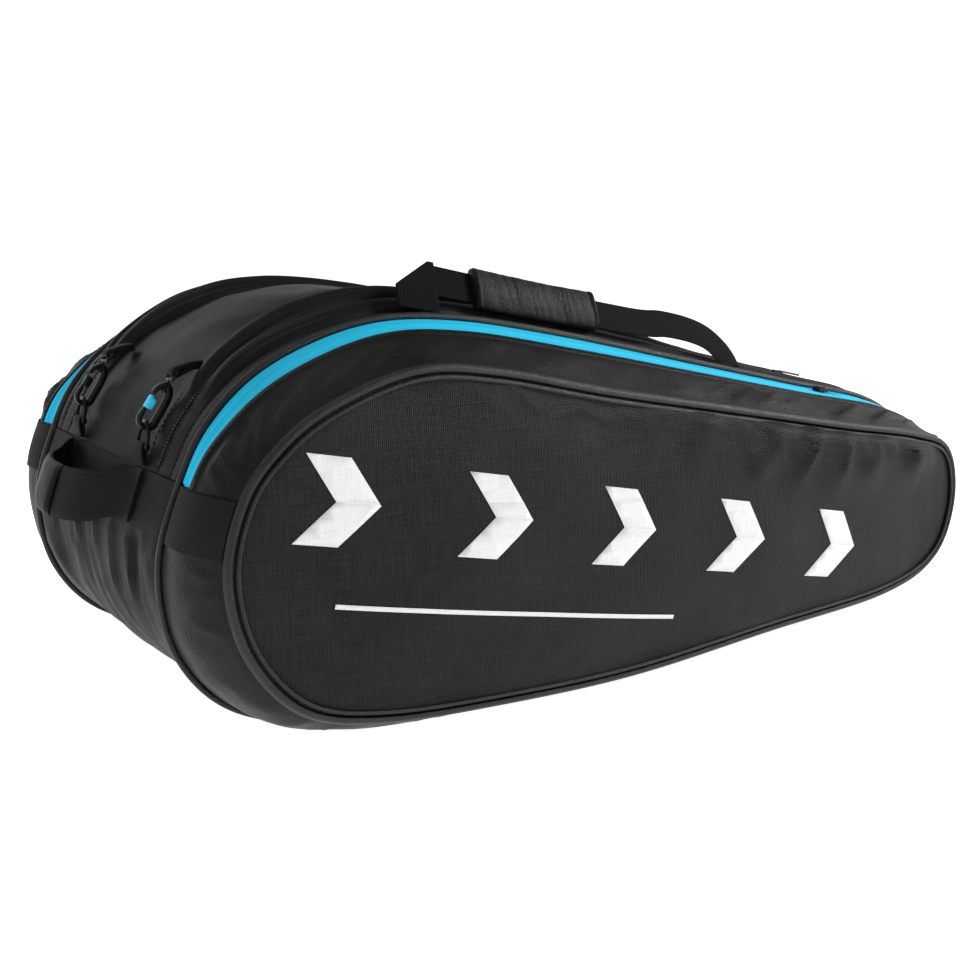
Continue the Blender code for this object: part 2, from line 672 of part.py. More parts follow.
# Backpack straps along the rear side: a pad sewn down at the big end, a ladder lock, and webbing
STRAP_Y = 0.2172
PAD_T = 0.009
PAD_W = 0.050
STRAP_WEB_W = 0.024
for name, height in (("upper", 0.037), ("lower", -0.052)):
    frame = strap_frame(height)
    path = [(-0.215, PAD_T / 2), (-0.190, PAD_T / 2 + 0.001)]
    path += [(-0.170 + 0.260 * k / 8, PAD_T / 2 + 0.003 + 0.022 * math.sin(math.pi * k / 8)) for k in range(9)]
    path += [(0.105, PAD_T / 2 + 0.002)]
    pad = ribbon(path, PAD_T, -PAD_W / 2, PAD_W / 2)
    finish(name + "_strap_pad", put(pad, frame), GUSSET_CLOTH)
    bm = bmesh.new()
    box(bm, (0.1060, -0.0160, 0.0026), (0.1300, 0.0160, 0.0072))
    lock = finish(name + "_ladder_lock", put(bm, frame), HOOK_BLACK)
    for k, x in enumerate((0.1120, 0.1210)):
        bm = bmesh.new()
        box(bm, (x, -0.0125, -0.002), (x + 0.0045, 0.0125, 0.010))
        joined(lock, finish("%s_lock_slot_%d" % (name, k), put(bm, frame), HOOK_BLACK), "DIFFERENCE")
    path = [(0.1232, 0.0098), (0.1232, 0.0008), (0.150, 0.0012), (0.230, 0.0008)]
    web = ribbon(path, 0.0014, -STRAP_WEB_W / 2, STRAP_WEB_W / 2)
    finish(name + "_strap_web", put(web, frame), WEBBING)
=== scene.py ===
import json
import math
from bisect import bisect_left

import bmesh
import bpy
from mathutils import Matrix, Vector, noise


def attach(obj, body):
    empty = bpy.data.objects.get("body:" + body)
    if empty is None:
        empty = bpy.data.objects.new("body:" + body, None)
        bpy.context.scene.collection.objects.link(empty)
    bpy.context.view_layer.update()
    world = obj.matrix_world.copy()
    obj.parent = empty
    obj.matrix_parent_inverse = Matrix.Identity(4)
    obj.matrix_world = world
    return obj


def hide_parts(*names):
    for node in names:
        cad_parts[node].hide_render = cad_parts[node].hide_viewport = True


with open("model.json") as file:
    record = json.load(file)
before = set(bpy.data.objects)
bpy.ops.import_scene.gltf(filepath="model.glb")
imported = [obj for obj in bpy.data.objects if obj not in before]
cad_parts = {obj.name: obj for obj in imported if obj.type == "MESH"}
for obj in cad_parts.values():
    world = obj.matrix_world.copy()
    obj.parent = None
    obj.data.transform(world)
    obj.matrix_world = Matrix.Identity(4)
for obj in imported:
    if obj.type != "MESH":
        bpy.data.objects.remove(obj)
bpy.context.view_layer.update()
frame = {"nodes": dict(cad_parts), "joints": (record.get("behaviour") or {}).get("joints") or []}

# Racket tournament bag: cloth, print, zips, stitching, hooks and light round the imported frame.
# X runs along the bag, with the big end at -X. The printed side is at -Y. Metres, +Z up.

# Driving sizes shared with the CAD walls
GAP = 0.0004
SHELL = 0.004
PANEL_Y = 0.2045
SEAM_Y = 0.136
DIVIDER_T = 0.0048
CORD_R = 0.0026
PANEL_T = 0.0035
DOME = 0.01
CROWN = 0.005
POCKET_BULGE_TOP = 0.003
POCKET_BULGE_END = 0.009
CENTRE_EDGE = 0.0777
MAIN_ZIP_Y = 0.098
STRIP_EDGE = 0.118
POCKET_ZIP_Y = 0.151
POCKET_EDGE = 0.1592
FLAP_H = 0.0072
BAND_W = 0.037
DIVIDER_IN = SEAM_Y - DIVIDER_T / 2
DIVIDER_OUT = SEAM_Y + DIVIDER_T / 2
CORD_IN = PANEL_Y - CORD_R - GAP
OUTER_FLAP = (MAIN_ZIP_Y + 0.0005, STRIP_EDGE)
INNER_FLAP = (CENTRE_EDGE + GAP, MAIN_ZIP_Y - 0.0005)
BAND_DROP = 0.0012  # from the fold line down to the webbing band
SIDES = (("front", -1), ("rear", 1))
ACROSS = Vector((0.0, 1.0, 0.0))

FOLD_LEFT = Vector((-0.372, 0.0, 0.187))
FOLD_RIGHT = Vector((0.372, 0.0, 0.094))
FOLD_DIR = (FOLD_RIGHT - FOLD_LEFT).normalized()
FOLD_UP = Vector((-FOLD_DIR.z, 0.0, FOLD_DIR.x))
FOLD_MID = (FOLD_LEFT + FOLD_RIGHT) / 2

# Side outlines as (x, z), round from the big end and over the top: at the panel and at the seam
PANEL_LINE = (
    (-0.36, 0.134), (-0.35, 0.178), (-0.329, 0.208), (-0.29, 0.235), (-0.225, 0.2545),
    (-0.16, 0.2495), (-0.06, 0.228), (0.07, 0.2033), (0.2, 0.1786), (0.297, 0.1615),
    (0.346, 0.1425), (0.36, 0.094), (0.338, 0.044), (0.27, 0.02), (0.12, 0.013),
    (-0.03, 0.0065), (-0.16, 0.0115), (-0.255, 0.021), (-0.312, 0.04), (-0.348, 0.083),
)
SEAM_LINE = (
    (-0.377, 0.129), (-0.361, 0.182), (-0.338, 0.223), (-0.296, 0.257), (-0.228, 0.2795),
    (-0.155, 0.28), (-0.052, 0.2625), (0.078, 0.234), (0.208, 0.2056), (0.305, 0.1843),
    (0.357, 0.154), (0.376, 0.097), (0.35, 0.034), (0.275, 0.005), (0.122, 0.000),
    (-0.03, 0.000), (-0.16, 0.000), (-0.262, 0.003), (-0.33, 0.025), (-0.368, 0.07),
)
STEPS = 16
AROUND = len(SEAM_LINE) * STEPS
PANEL_MIDDLE = Vector((-0.03, 0.0, 0.128))

# How the full bag stands above the CAD skin; pairs are the front side and the rear side
TOP_CROWN = 0.01
RIDGE_AT = (0.09, 0.098)
RIDGE_H = (0.0075, 0.0115)


# Shapes

def curve_point(p0, p1, p2, p3, f):
    """Point on the smooth curve that runs from p1 to p2 between its neighbours."""
    f2 = f * f
    f3 = f2 * f
    point = p1 * (2 * f3 - 3 * f2 + 1) + (p2 - p0) / 2 * (f3 - 2 * f2 + f)
    return point + (p2 * (3 * f2 - 2 * f3) + (p3 - p1) / 2 * (f3 - f2))


def line_at(line, u):
    """Point and direction on a closed smooth curve through the named points."""
    count = len(line)
    start = int((u % 1.0) * count)
    f = (u % 1.0) * count - start
    p0, p1, p2, p3 = (Vector(line[(start + k) % count]) for k in (-1, 0, 1, 2))
    way = (p1 - p2) * (6 * f * f - 6 * f) + (p2 - p0) / 2 * (3 * f * f - 4 * f + 1)
    way += (p3 - p1) / 2 * (3 * f * f - 2 * f)
    return curve_point(p0, p1, p2, p3, f), way.normalized()


def smooth(low, high, value):
    f = min(1.0, max(0.0, (value - low) / (high - low)))
    return f * f * (3 - 2 * f)


KNOWN_LINES = {}


def lines_at(u):
    """Seam and panel outline at u, with their directions, worked out once for each u."""
    key = round(u % 1.0, 7)
    if key not in KNOWN_LINES:
        KNOWN_LINES[key] = line_at(SEAM_LINE, u) + line_at(PANEL_LINE, u)
    return KNOWN_LINES[key]


def crest(seam, y):
    """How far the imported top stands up, with a ridge along each main zip."""
    share = smooth(0.03, 0.1, above_fold(Vector((seam.x, 0.0, seam.y)))) * smooth(-0.36, -0.24, seam.x)
    share *= 1 - 0.66 * smooth(0.0, 0.15, seam.x) - 0.34 * smooth(0.22, 0.29, seam.x)
    a = abs(y)
    middle = RIDGE_AT[y > 0]
    ridge_here = RIDGE_H[y > 0] * hump(a, middle, 0.0145)
    return share * (TOP_CROWN * (1 - smooth(0.02, 0.118, a)) + ridge_here * (1 - smooth(0.124, 0.133, a)))


def shell_point(u, y, d=0.0):
    """Point at u round the bag, y across it and d outside its skin."""
    a = abs(y)
    seam, way, panel, panel_way = lines_at(u)
    out = Vector((-way.y, way.x))
    if a <= SEAM_Y:
        crown = CROWN * smooth(-0.2, 0.9, out.y) * (1 - 0.85 * smooth(0.0, 0.33, seam.x))
        base = seam + out * (crown * (1 - (a / SEAM_Y) ** 2) + crest(seam, y))
    else:
        w = (a - SEAM_Y) / (PANEL_Y - SEAM_Y)
        bulge = POCKET_BULGE_END + (POCKET_BULGE_TOP - POCKET_BULGE_END) * smooth(0.3, 0.95, out.y)
        base = seam.lerp(panel, w) + out * bulge * math.sin(math.pi * min(w, 1.0))
        out = out.lerp(Vector((-panel_way.y, panel_way.x)), w).normalized()
    base.y = max(base.y, 0.0)
    base = base + out * d
    return Vector((base.x, y, max(base.y, 0.0)))


def above_fold(point):
    return (Vector((point.x, 0.0, point.z)) - FOLD_MID).dot(FOLD_UP)


def outline_lengths():
    """Distance along the seam outline at each step round the bag."""
    lengths = [0.0]
    for i in range(AROUND):
        here = lines_at(i / AROUND)[0]
        there = lines_at((i + 1) / AROUND)[0]
        lengths.append(lengths[-1] + (there - here).length)
    return lengths


LENGTHS = outline_lengths()


def length_at(u):
    place = (u % 1.0) * AROUND
    k = int(place)
    return LENGTHS[k] + (LENGTHS[min(k + 1, AROUND)] - LENGTHS[k]) * (place - k)


def u_at_length(length):
    length = length % LENGTHS[-1]
    k = max(0, bisect_left(LENGTHS, length) - 1)
    return (k + (length - LENGTHS[k]) / (LENGTHS[k + 1] - LENGTHS[k])) / AROUND


def wave(point, scale, seed):
    """Smooth noise from -1 to 1 at this many bumps a metre."""
    return noise.noise(point * scale + Vector((seed * 7.3, seed * 3.1, seed * 5.7)))


def fold_at(x, y, z, seed, sharp):
    """A soft crease, 1 where smooth noise crosses zero."""
    return max(0.0, 1 - abs(wave(Vector((x, y, z)), 1.0, seed)) * sharp) ** 2


def hump(value, middle, width):
    """A smooth bump, 1 at its middle."""
    return math.exp(-((value - middle) / width) ** 2)


def blunt(f, width):
    """1 along a bar, falling to 0 at both ends as a rounded end does."""
    return min(1.0, math.sqrt(min(f, 1 - f) / width))


def ways(path):
    """Direction of a path at each of its points."""
    last = len(path) - 1
    return [(path[min(last, k + 1)] - path[max(0, k - 1)]).normalized() for k in range(last + 1)]


def standing(x, y, z, origin):
    """A frame with these three directions at this point."""
    here = Matrix((x, y, z)).transposed().to_4x4()
    here.translation = origin
    return here


def u_where(low_u, high_u, short):
    """Closes in on the place round the bag where short(u) stops being true."""
    for _ in range(40):
        middle = (low_u + high_u) / 2
        if short(middle):
            low_u = middle
        else:
            high_u = middle
    return (low_u + high_u) / 2


def smoothed(points, parts):
    """A smooth open path through these points."""
    ends = [points[0] * 2 - points[1]] + list(points) + [points[-1] * 2 - points[-2]]
    path = []
    for k in range(len(points) - 1):
        path += [curve_point(*ends[k:k + 4], step / parts) for step in range(parts)]
    return path + [points[-1]]


def steps_between(start, end, parts):
    return [start + (end - start) * k / parts for k in range(parts + 1)]


# Building

def in_scene(name, data):
    obj = bpy.data.objects.new(name, data)
    bpy.context.scene.collection.objects.link(obj)
    return obj


def shown(name, bm, looks):
    """An object in the scene made of this mesh, with smooth shading."""
    mesh = bpy.data.meshes.new(name)
    bm.to_mesh(mesh)
    bm.free()
    for look in looks if isinstance(looks, list) else [looks]:
        mesh.materials.append(look)
    mesh.shade_smooth()
    return in_scene(name, mesh)


def finish(name, bm, looks, angle=40.0):
    bmesh.ops.remove_doubles(bm, verts=bm.verts, dist=1e-6)
    bmesh.ops.recalc_face_normals(bm, faces=bm.faces)
    obj = shown(name, bm, looks)
    obj.data.set_sharp_from_angle(angle=math.radians(angle))
    return obj


def place(obj, body, nodes=(), slot=None):
    """Rides the piece on its body, in place of these CAD nodes."""
    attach(obj, body)
    if nodes:
        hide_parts(*nodes)
    return obj


def add(name, bm, looks, body, nodes=(), slot=None, angle=40.0):
    return place(finish(name, bm, looks, angle), body, nodes, slot)


def thicken(obj, thick):
    solid = obj.modifiers.new("thickness", "SOLIDIFY")
    solid.thickness = thick
    solid.offset = 0.0


def crossed(bm, point, normal, clear=True):
    """Cuts along a plane, and clears what lies on the side that its normal points to."""
    geometry = bm.verts[:] + bm.edges[:] + bm.faces[:]
    bmesh.ops.bisect_plane(bm, geom=geometry, dist=1e-7, plane_co=point, plane_no=normal, clear_outer=clear)


def cut(bm, point, away):
    """Removes what lies on the side that away points to, and closes the cut."""
    crossed(bm, point, away)
    rims = [edge for edge in bm.edges if edge.is_boundary]
    if rims:
        bmesh.ops.holes_fill(bm, edges=rims, sides=0)
    return bm


def upper(bm):
    return cut(bm, FOLD_MID, -FOLD_UP)


def lower(bm):
    return cut(bm, FOLD_MID, FOLD_UP)


def uv_of(bm):
    return bm.loops.layers.uv.get("UVMap") or bm.loops.layers.uv.new("UVMap")


def skinned(rows, runs, widths, ring=False, look=None, bm=None):
    """A mesh over closed rows of points, with both ends closed unless the rows form a ring.

    runs and widths give the UV of each row and column, and look(k, j) the material between two columns.
    """
    bm = bm or bmesh.new()
    rows = [[bm.verts.new(point) for point in row] for row in rows]
    uv = uv_of(bm)
    count, size = len(rows), len(rows[0])
    for i in range(count if ring else count - 1):
        near, far = rows[i], rows[(i + 1) % count]
        for k in range(size):
            j = (k + 1) % size
            face = bm.faces.new((near[k], near[j], far[j], far[k]))
            if look:
                face.material_index = look(k, j)
            spots = ((i, k), (i, k + 1), (i + 1, k + 1), (i + 1, k))
            for corner, (row, column) in zip(face.loops, spots):
                corner[uv].uv = (runs[row], widths[column])
    if not ring:
        bm.faces.new(list(reversed(rows[0])))
        bm.faces.new(rows[-1])
    return bm


def ring_skin(ys, lift, thickness, inner_look=1):
    """A closed ring round the bag: its outer face stands at lift(u, y), its inner face below the skin."""
    loop = [(y, True) for y in ys] + [(y, False) for y in reversed(ys)]
    rows = []
    for i in range(AROUND):
        u = i / AROUND
        rows.append([shell_point(u, y, lift(u, y) if outer else -thickness) for y, outer in loop])

    def look(k, j):
        return 0 if loop[k][1] or loop[j][1] else inner_look

    return skinned(rows, LENGTHS, [y for y, _ in loop + loop[:1]], True, look)


def tube_ring(y, d, radius, sides=12):
    """A cord round the whole bag, at y across it and d outside its skin."""
    angles = [2 * math.pi * k / sides for k in range(sides + 1)]
    round_it = [(y + radius * math.sin(angle), d + radius * math.cos(angle)) for angle in angles[:-1]]
    rows = [[shell_point(i / AROUND, *spot) for spot in round_it] for i in range(AROUND)]
    return skinned(rows, LENGTHS, [angle * radius for angle in angles], True)


def flat_uv(bm):
    """Stores UVs in metres, seen square to the side panels."""
    uv = uv_of(bm)
    for face in bm.faces:
        for corner in face.loops:
            corner[uv].uv = (corner.vert.co.x, corner.vert.co.z)
    return bm


def box_uv(bm):
    """Stores UVs in metres from each face's own main direction."""
    uv = uv_of(bm)
    for face in bm.faces:
        n = face.normal
        a = max(range(3), key=lambda k: abs(n[k]))
        first, second = ((1, 2), (0, 2), (0, 1))[a]
        for corner in face.loops:
            corner[uv].uv = (corner.vert.co[first], corner.vert.co[second])
    return bm


# Materials

def add_node(tree, kind, output, inputs, **settings):
    """Adds a shader node; each input is a value or the output of another node."""
    node = tree.nodes.new("ShaderNode" + kind)
    for key, value in settings.items():
        setattr(node, key, value)
    for key, value in inputs.items():
        if isinstance(value, bpy.types.NodeSocket):
            tree.links.new(value, node.inputs[key])
        else:
            node.inputs[key].default_value = value
    return node.outputs[output]


class Graph:
    """Short helpers for one material's nodes."""

    def __init__(self, name, colour, rough, metal=0.0, shine=0.2):
        self.made = bpy.data.materials.new(name)
        self.made.use_nodes = True
        self.made.diffuse_color = (*colour, 1.0)
        self.tree = self.made.node_tree
        self.shader = self.tree.nodes["Principled BSDF"].inputs
        self.shader["Base Color"].default_value = (*colour, 1.0)
        self.shader["Roughness"].default_value = rough
        self.shader["Metallic"].default_value = metal
        self.shader["Specular IOR Level"].default_value = shine
        self.colour = colour
        self.where = add_node(self.tree, "UVMap", "UV", {})

    def drawn(self, kind, output, x, y, inputs, **settings):
        """A pattern this many units a metre along each UV direction."""
        spot = add_node(self.tree, "Mapping", "Vector", {"Vector": self.where, "Scale": (x, y, 1.0)})
        return add_node(self.tree, kind, output, {"Vector": spot, "Scale": 1.0, **inputs}, **settings)

    def noise(self, x, y, detail=2.0):
        return self.drawn("TexNoise", "Fac", x, y, {"Detail": detail})

    def cells(self, scale):
        return self.drawn("TexVoronoi", "Distance", scale, scale, {}, feature="DISTANCE_TO_EDGE")

    def bands(self, direction, repeat):
        """A sine wave with this many ribs a metre along one UV direction."""
        per = repeat / 3.183  # the node repeats every pi / 10 units
        return self.drawn("TexWave", "Fac", per, per, {}, bands_direction=direction, wave_profile="SIN")

    def sum(self, *parts):
        """Weighted sum of several values."""
        total = 0.0
        for source, weight in parts:
            total = add_node(self.tree, "Math", 0, {0: source, 1: weight, 2: total}, operation="MULTIPLY_ADD")
        return total

    def spread(self, source, *ends):
        inputs = dict(zip(("From Min", "From Max", "To Min", "To Max"), ends))
        return add_node(self.tree, "MapRange", "Result", {"Value": source, **inputs})

    def tint(self, source, low, high, dark, light):
        """Base colour between two shades of the material's own colour, as the source runs low to high."""
        first, second = ((*[min(1.0, c * shade) for c in self.colour], 1.0) for shade in (dark, light))
        inputs = {0: self.spread(source, low, high, 0.0, 1.0), 6: first, 7: second}
        mixed = add_node(self.tree, "Mix", 2, inputs, data_type="RGBA")
        self.tree.links.new(mixed, self.shader["Base Color"])

    def rough(self, source, low, high):
        self.tree.links.new(self.spread(source, 0.0, 1.0, low, high), self.shader["Roughness"])

    def bump(self, source, distance, strength):
        inputs = {"Height": source, "Distance": distance, "Strength": strength}
        self.tree.links.new(add_node(self.tree, "Bump", "Normal", inputs), self.shader["Normal"])


def woven_panel():
    g = Graph("woven_panel", (0.0052, 0.0052, 0.0054), 0.5, shine=0.13)
    warp = g.noise(900.0, 34.0, 3.0)
    weft = g.noise(34.0, 900.0, 3.0)
    cloud = g.noise(16.0, 16.0, 3.0)
    threads = g.sum((warp, 0.5), (weft, 0.5))
    g.tint(g.sum((threads, 0.82), (cloud, 0.18)), 0.38, 0.62, 0.35, 2.3)
    g.rough(threads, 0.34, 0.62)
    grid = g.sum((g.bands("X", 700.0), 0.5), (g.bands("Y", 700.0), 0.5), (threads, 1.6))
    g.bump(grid, 0.00045, 0.8)
    return g.made


def soft_leather(name, colour, shine):
    g = Graph(name, colour, 0.4, shine=shine)
    grain = g.cells(1100.0)
    fine = g.noise(1500.0, 1500.0, 3.0)
    cloud = g.noise(20.0, 20.0, 4.0)
    speckle = g.noise(520.0, 520.0, 2.0)
    g.tint(g.sum((cloud, 0.5), (speckle, 0.5)), 0.32, 0.68, 0.45, 1.8)
    g.rough(g.sum((cloud, 0.5), (fine, 0.5)), 0.3, 0.52)
    g.bump(g.sum((grain, 0.6), (fine, 0.5), (speckle, 1.2), (cloud, 1.5)), 0.00055, 0.9)
    return g.made


def ribbed_webbing(name, grey, shine):
    g = Graph(name, (grey, grey, grey * 1.02), 0.68, shine=shine)
    ribs = g.bands("X", 520.0)
    columns = g.bands("Y", 330.0)
    fine = g.noise(2200.0, 2200.0, 2.0)
    weave = g.sum((ribs, 0.65), (columns, 0.3), (fine, 0.3))
    g.tint(weave, 0.2, 1.1, 0.5, 2.1)
    g.rough(fine, 0.52, 0.8)
    g.bump(weave, 0.0004, 0.7)
    return g.made


def zip_tape(name, colour):
    g = Graph(name, colour, 0.55, shine=0.12)
    twill = g.sum((g.bands("X", 700.0), 0.5), (g.bands("Y", 700.0), 0.5))
    fine = g.noise(1800.0, 1800.0, 2.0)
    cloud = g.noise(30.0, 60.0, 2.0)
    g.tint(g.sum((twill, 0.5), (fine, 0.3), (cloud, 0.2)), 0.25, 0.75, 0.82, 1.12)
    g.rough(fine, 0.42, 0.66)
    g.bump(g.sum((twill, 1.0), (fine, 0.5)), 0.0002, 0.5)
    return g.made


def plain_lining():
    g = Graph("plain_lining", (0.06, 0.065, 0.075), 0.75)
    weave = g.sum((g.bands("X", 900.0), 0.5), (g.bands("Y", 900.0), 0.5))
    cloud = g.noise(24.0, 24.0, 3.0)
    g.tint(g.sum((weave, 0.3), (cloud, 0.7)), 0.3, 0.7, 0.85, 1.15)
    g.rough(cloud, 0.66, 0.84)
    g.bump(weave, 0.0002, 0.5)
    return g.made


def moulded(name, colour, rough):
    g = Graph(name, colour, rough, shine=0.22)
    cloud = g.noise(180.0, 180.0, 3.0)
    fine = g.noise(1400.0, 1400.0, 2.0)
    g.tint(cloud, 0.3, 0.7, 0.85, 1.25)
    g.rough(g.sum((cloud, 0.6), (fine, 0.4)), rough - 0.08, rough + 0.12)
    g.bump(fine, 0.00006, 0.4)
    return g.made


def enamelled():
    g = Graph("enamelled_metal", (0.022, 0.022, 0.024), 0.32, metal=0.85)
    fine = g.noise(900.0, 900.0, 3.0)
    wear = g.noise(260.0, 260.0, 4.0)
    g.tint(wear, 0.35, 0.75, 0.8, 1.9)
    g.rough(fine, 0.24, 0.42)
    g.bump(fine, 0.00005, 0.4)
    return g.made


def screen_ink():
    g = Graph("screen_ink", (0.66, 0.665, 0.67), 0.48)
    weave = g.sum((g.noise(900.0, 60.0, 2.0), 0.5), (g.noise(60.0, 900.0, 2.0), 0.5))
    g.tint(weave, 0.35, 0.65, 0.9, 1.05)
    g.rough(weave, 0.4, 0.58)
    g.bump(weave, 0.00012, 0.4)
    return g.made


def sewing_thread():
    g = Graph("sewing_thread", (0.014, 0.014, 0.0145), 0.6)
    twist = g.bands("X", 1500.0)
    g.tint(twist, 0.0, 1.0, 0.7, 1.5)
    g.bump(twist, 0.0001, 0.5)
    return g.made


PANEL = woven_panel()
LEATHER = soft_leather("soft_leather", (0.0054, 0.0052, 0.005), 0.12)
DULL_LEATHER = soft_leather("dull_leather", (0.0022, 0.0021, 0.002), 0.055)
# Piping leather: a lighter copy of the soft leather. Its lighter base colour is a painted highlight along the
# cords' crests, while its higher shine is real specular.
PIPING_WITH_PAINTED_HIGHLIGHT = soft_leather("piping_leather_painted_highlight", (0.0105, 0.0101, 0.0098), 0.26)
WEBBING = ribbed_webbing("band_webbing", 0.006, 0.12)
HANDLE_WEBBING = ribbed_webbing("handle_webbing", 0.0022, 0.05)
BLUE = zip_tape("blue_tape_weave", (0.018, 0.52, 0.79))
BLACK_TAPE = zip_tape("black_tape_weave", (0.0045, 0.0045, 0.0047))
LINING = plain_lining()
HOOK = moulded("hook_plastic", (0.0035, 0.0035, 0.0038), 0.32)
BLUE_PLASTIC = moulded("blue_plastic", (0.024, 0.52, 0.78), 0.35)
SLIDER = enamelled()
INK = screen_ink()
THREAD = sewing_thread()
COIL = moulded("coil_black", (0.01, 0.01, 0.0105), 0.45)
COIL_BLUE = moulded("coil_blue", (0.018, 0.4, 0.62), 0.45)


# Walls

def below_band(point):
    return smooth(0.0, 0.014, -above_fold(point) - BAND_W)


def seam_dip(off):
    """How far cloth is pulled down beside a seam, at this distance off it."""
    return -0.0012 * (1 - smooth(0.0006, 0.0045, off))


def main_lift(u, y):
    """Main gusset: soft dents all over, and long folds under the big end's webbing."""
    base = shell_point(u, y)
    fade = smooth(0.0, 0.022, SEAM_Y - abs(y))
    soft = wave(base, 11.0, 1) * 0.003 + wave(base, 27.0, 2) * 0.0012
    depth = -above_fold(base) - BAND_W
    near = smooth(-0.26, -0.33, base.x) * smooth(-0.004, 0.016, depth) * (1 - smooth(0.05, 0.16, depth))
    folds = fold_at(0.0, y * 26.0, depth * 4.0, 3, 2.6) * 0.0036
    folds += fold_at(0.0, y * 44.0, depth * 7.0, 4, 2.8) * 0.002
    flat = smooth(0.004, 0.02, base.z)
    seam = seam_dip(SEAM_Y - 0.0028 - abs(y))
    return ((soft - 0.0012) * below_band(base) + folds * near) * fade * flat + seam * flat


def centre_lift(u, y):
    base = shell_point(u, y)
    fade = smooth(0.0, 0.014, CENTRE_EDGE - abs(y)) * smooth(0.0, 0.02, above_fold(base))
    pull = fold_at(base.x * 16.0, y * 9.0, 0.0, 5, 2.4) * 0.0018
    return (wave(base, 13.0, 6) * 0.002 + wave(base, 34.0, 7) * 0.0008 + pull - 0.0004) * fade


def pocket_lift(u, y):
    """Side pocket gusset: soft dents, and puckers along the outer piping."""
    base = shell_point(u, y)
    a = abs(y)
    fade = smooth(0.0, 0.012, a - DIVIDER_OUT) * smooth(0.0, 0.014, CORD_IN - a)
    soft = wave(base, 15.0, 8) * 0.0022 + wave(base, 38.0, 9) * 0.001
    along = length_at(u)
    pucker = fold_at(along * 34.0, a * 20.0, y * 3.0, 10, 2.4) * 0.003
    pucker *= smooth(0.165, 0.195, a)
    seam = seam_dip(min(a - DIVIDER_OUT, CORD_IN - a))
    return ((soft + pucker - 0.0008) * fade * below_band(base) + seam) * smooth(0.0, 0.012, base.z)


def lid_lift(u, y):
    """Upper side pocket gusset: a folded hem beside the zip, then soft cloth with slanting creases."""
    base = shell_point(u, y)
    a = abs(y) - POCKET_EDGE
    high = above_fold(base)
    hem = 0.0011 * (1 - smooth(0.0052, 0.0066, a)) + 0.0005
    hem -= 0.0006 * (1 - smooth(0.0, 0.0012, a))
    fade = smooth(0.008, 0.016, a) * smooth(0.0, 0.012, CORD_IN - abs(y)) * smooth(-0.002, 0.02, high)
    soft = wave(base, 16.0, 11) * 0.0022 + wave(base, 40.0, 12) * 0.0009
    slant = length_at(u) * 30.0 + a * 55.0
    crease = fold_at(slant, a * 10.0, y * 2.0, 13, 1.9) * 0.0036
    fan = smooth(-0.29, -0.34, base.x) * (1 - smooth(0.02, 0.09, high))
    folds = fold_at(base.z * 42.0 + a * 30.0, a * 12.0, 0.0, 14, 2.2) * 0.0042 * fan
    return hem + (soft + crease * (0.4 + 0.6 * smooth(-0.05, 0.12, base.x)) + folds) * fade


def strip_lift(u, y):
    """The leather strip between the main zip's outer flap and the seam."""
    base = shell_point(u, y)
    fade = smooth(0.0, 0.005, min(abs(y) - STRIP_EDGE, DIVIDER_IN - abs(y)))
    return 0.0004 + (0.0012 + wave(base, 30.0, 15) * 0.0009) * fade


def tape_lift(u, y):
    """Blue zip tape: flat, with the covered coil standing up along its middle."""
    off = abs(abs(y) - POCKET_ZIP_Y)
    coil = 0.0011 * (1 - smooth(0.0012, 0.0026, off)) - 0.0012 * (1 - smooth(0.0, 0.0007, off))
    return 0.0002 + coil


def flap_lift(start, end):
    """A padded flap: a full round welt, with a sewn groove near each edge, that flattens at its ends."""
    def lift(u, y):
        f = min(1.0, max(0.0, (abs(y) - start) / (end - start)))
        base = shell_point(u, y)
        welt = math.sin(math.pi * f) ** 0.6
        groove = 0.0009 * (hump(f, 0.22, 0.05) + hump(f, 0.78, 0.05))
        rise = FLAP_H * welt - groove + wave(base, 34.0, 16) * 0.0006 * welt
        return 0.0006 + rise * (0.12 + 0.88 * smooth(0.04, 0.078, above_fold(base)))
    return lift


def panel_edge(i):
    """The sewn edge of a side panel at one step round the bag."""
    edge = shell_point(i / AROUND, PANEL_Y, -CORD_R - GAP)
    return Vector((edge.x, 0.0, edge.z))


def panel_reach():
    """Direction from the panel's middle and distance to its edge, in order of direction."""
    found = []
    for i in range(AROUND):
        away = panel_edge(i) - PANEL_MIDDLE
        found.append((math.atan2(away.z, away.x), away.length))
    found.sort()
    (first, first_long), (last, last_long) = found[0], found[-1]
    return [(last - 2 * math.pi, last_long)] + found + [(first + 2 * math.pi, first_long)]


REACH = panel_reach()
REACH_ANGLES = [row[0] for row in REACH]


def panel_share(x, z):
    """0 at the panel's middle and 1 on its sewn edge, with the direction from the middle."""
    away = Vector((x - PANEL_MIDDLE.x, z - PANEL_MIDDLE.z))
    angle = math.atan2(away.y, away.x)
    k = min(max(1, bisect_left(REACH_ANGLES, angle)), len(REACH) - 1)
    low, high = REACH[k - 1], REACH[k]
    f = (angle - low[0]) / max(1e-9, high[0] - low[0])
    return away.length / (low[1] + (high[1] - low[1]) * f), angle


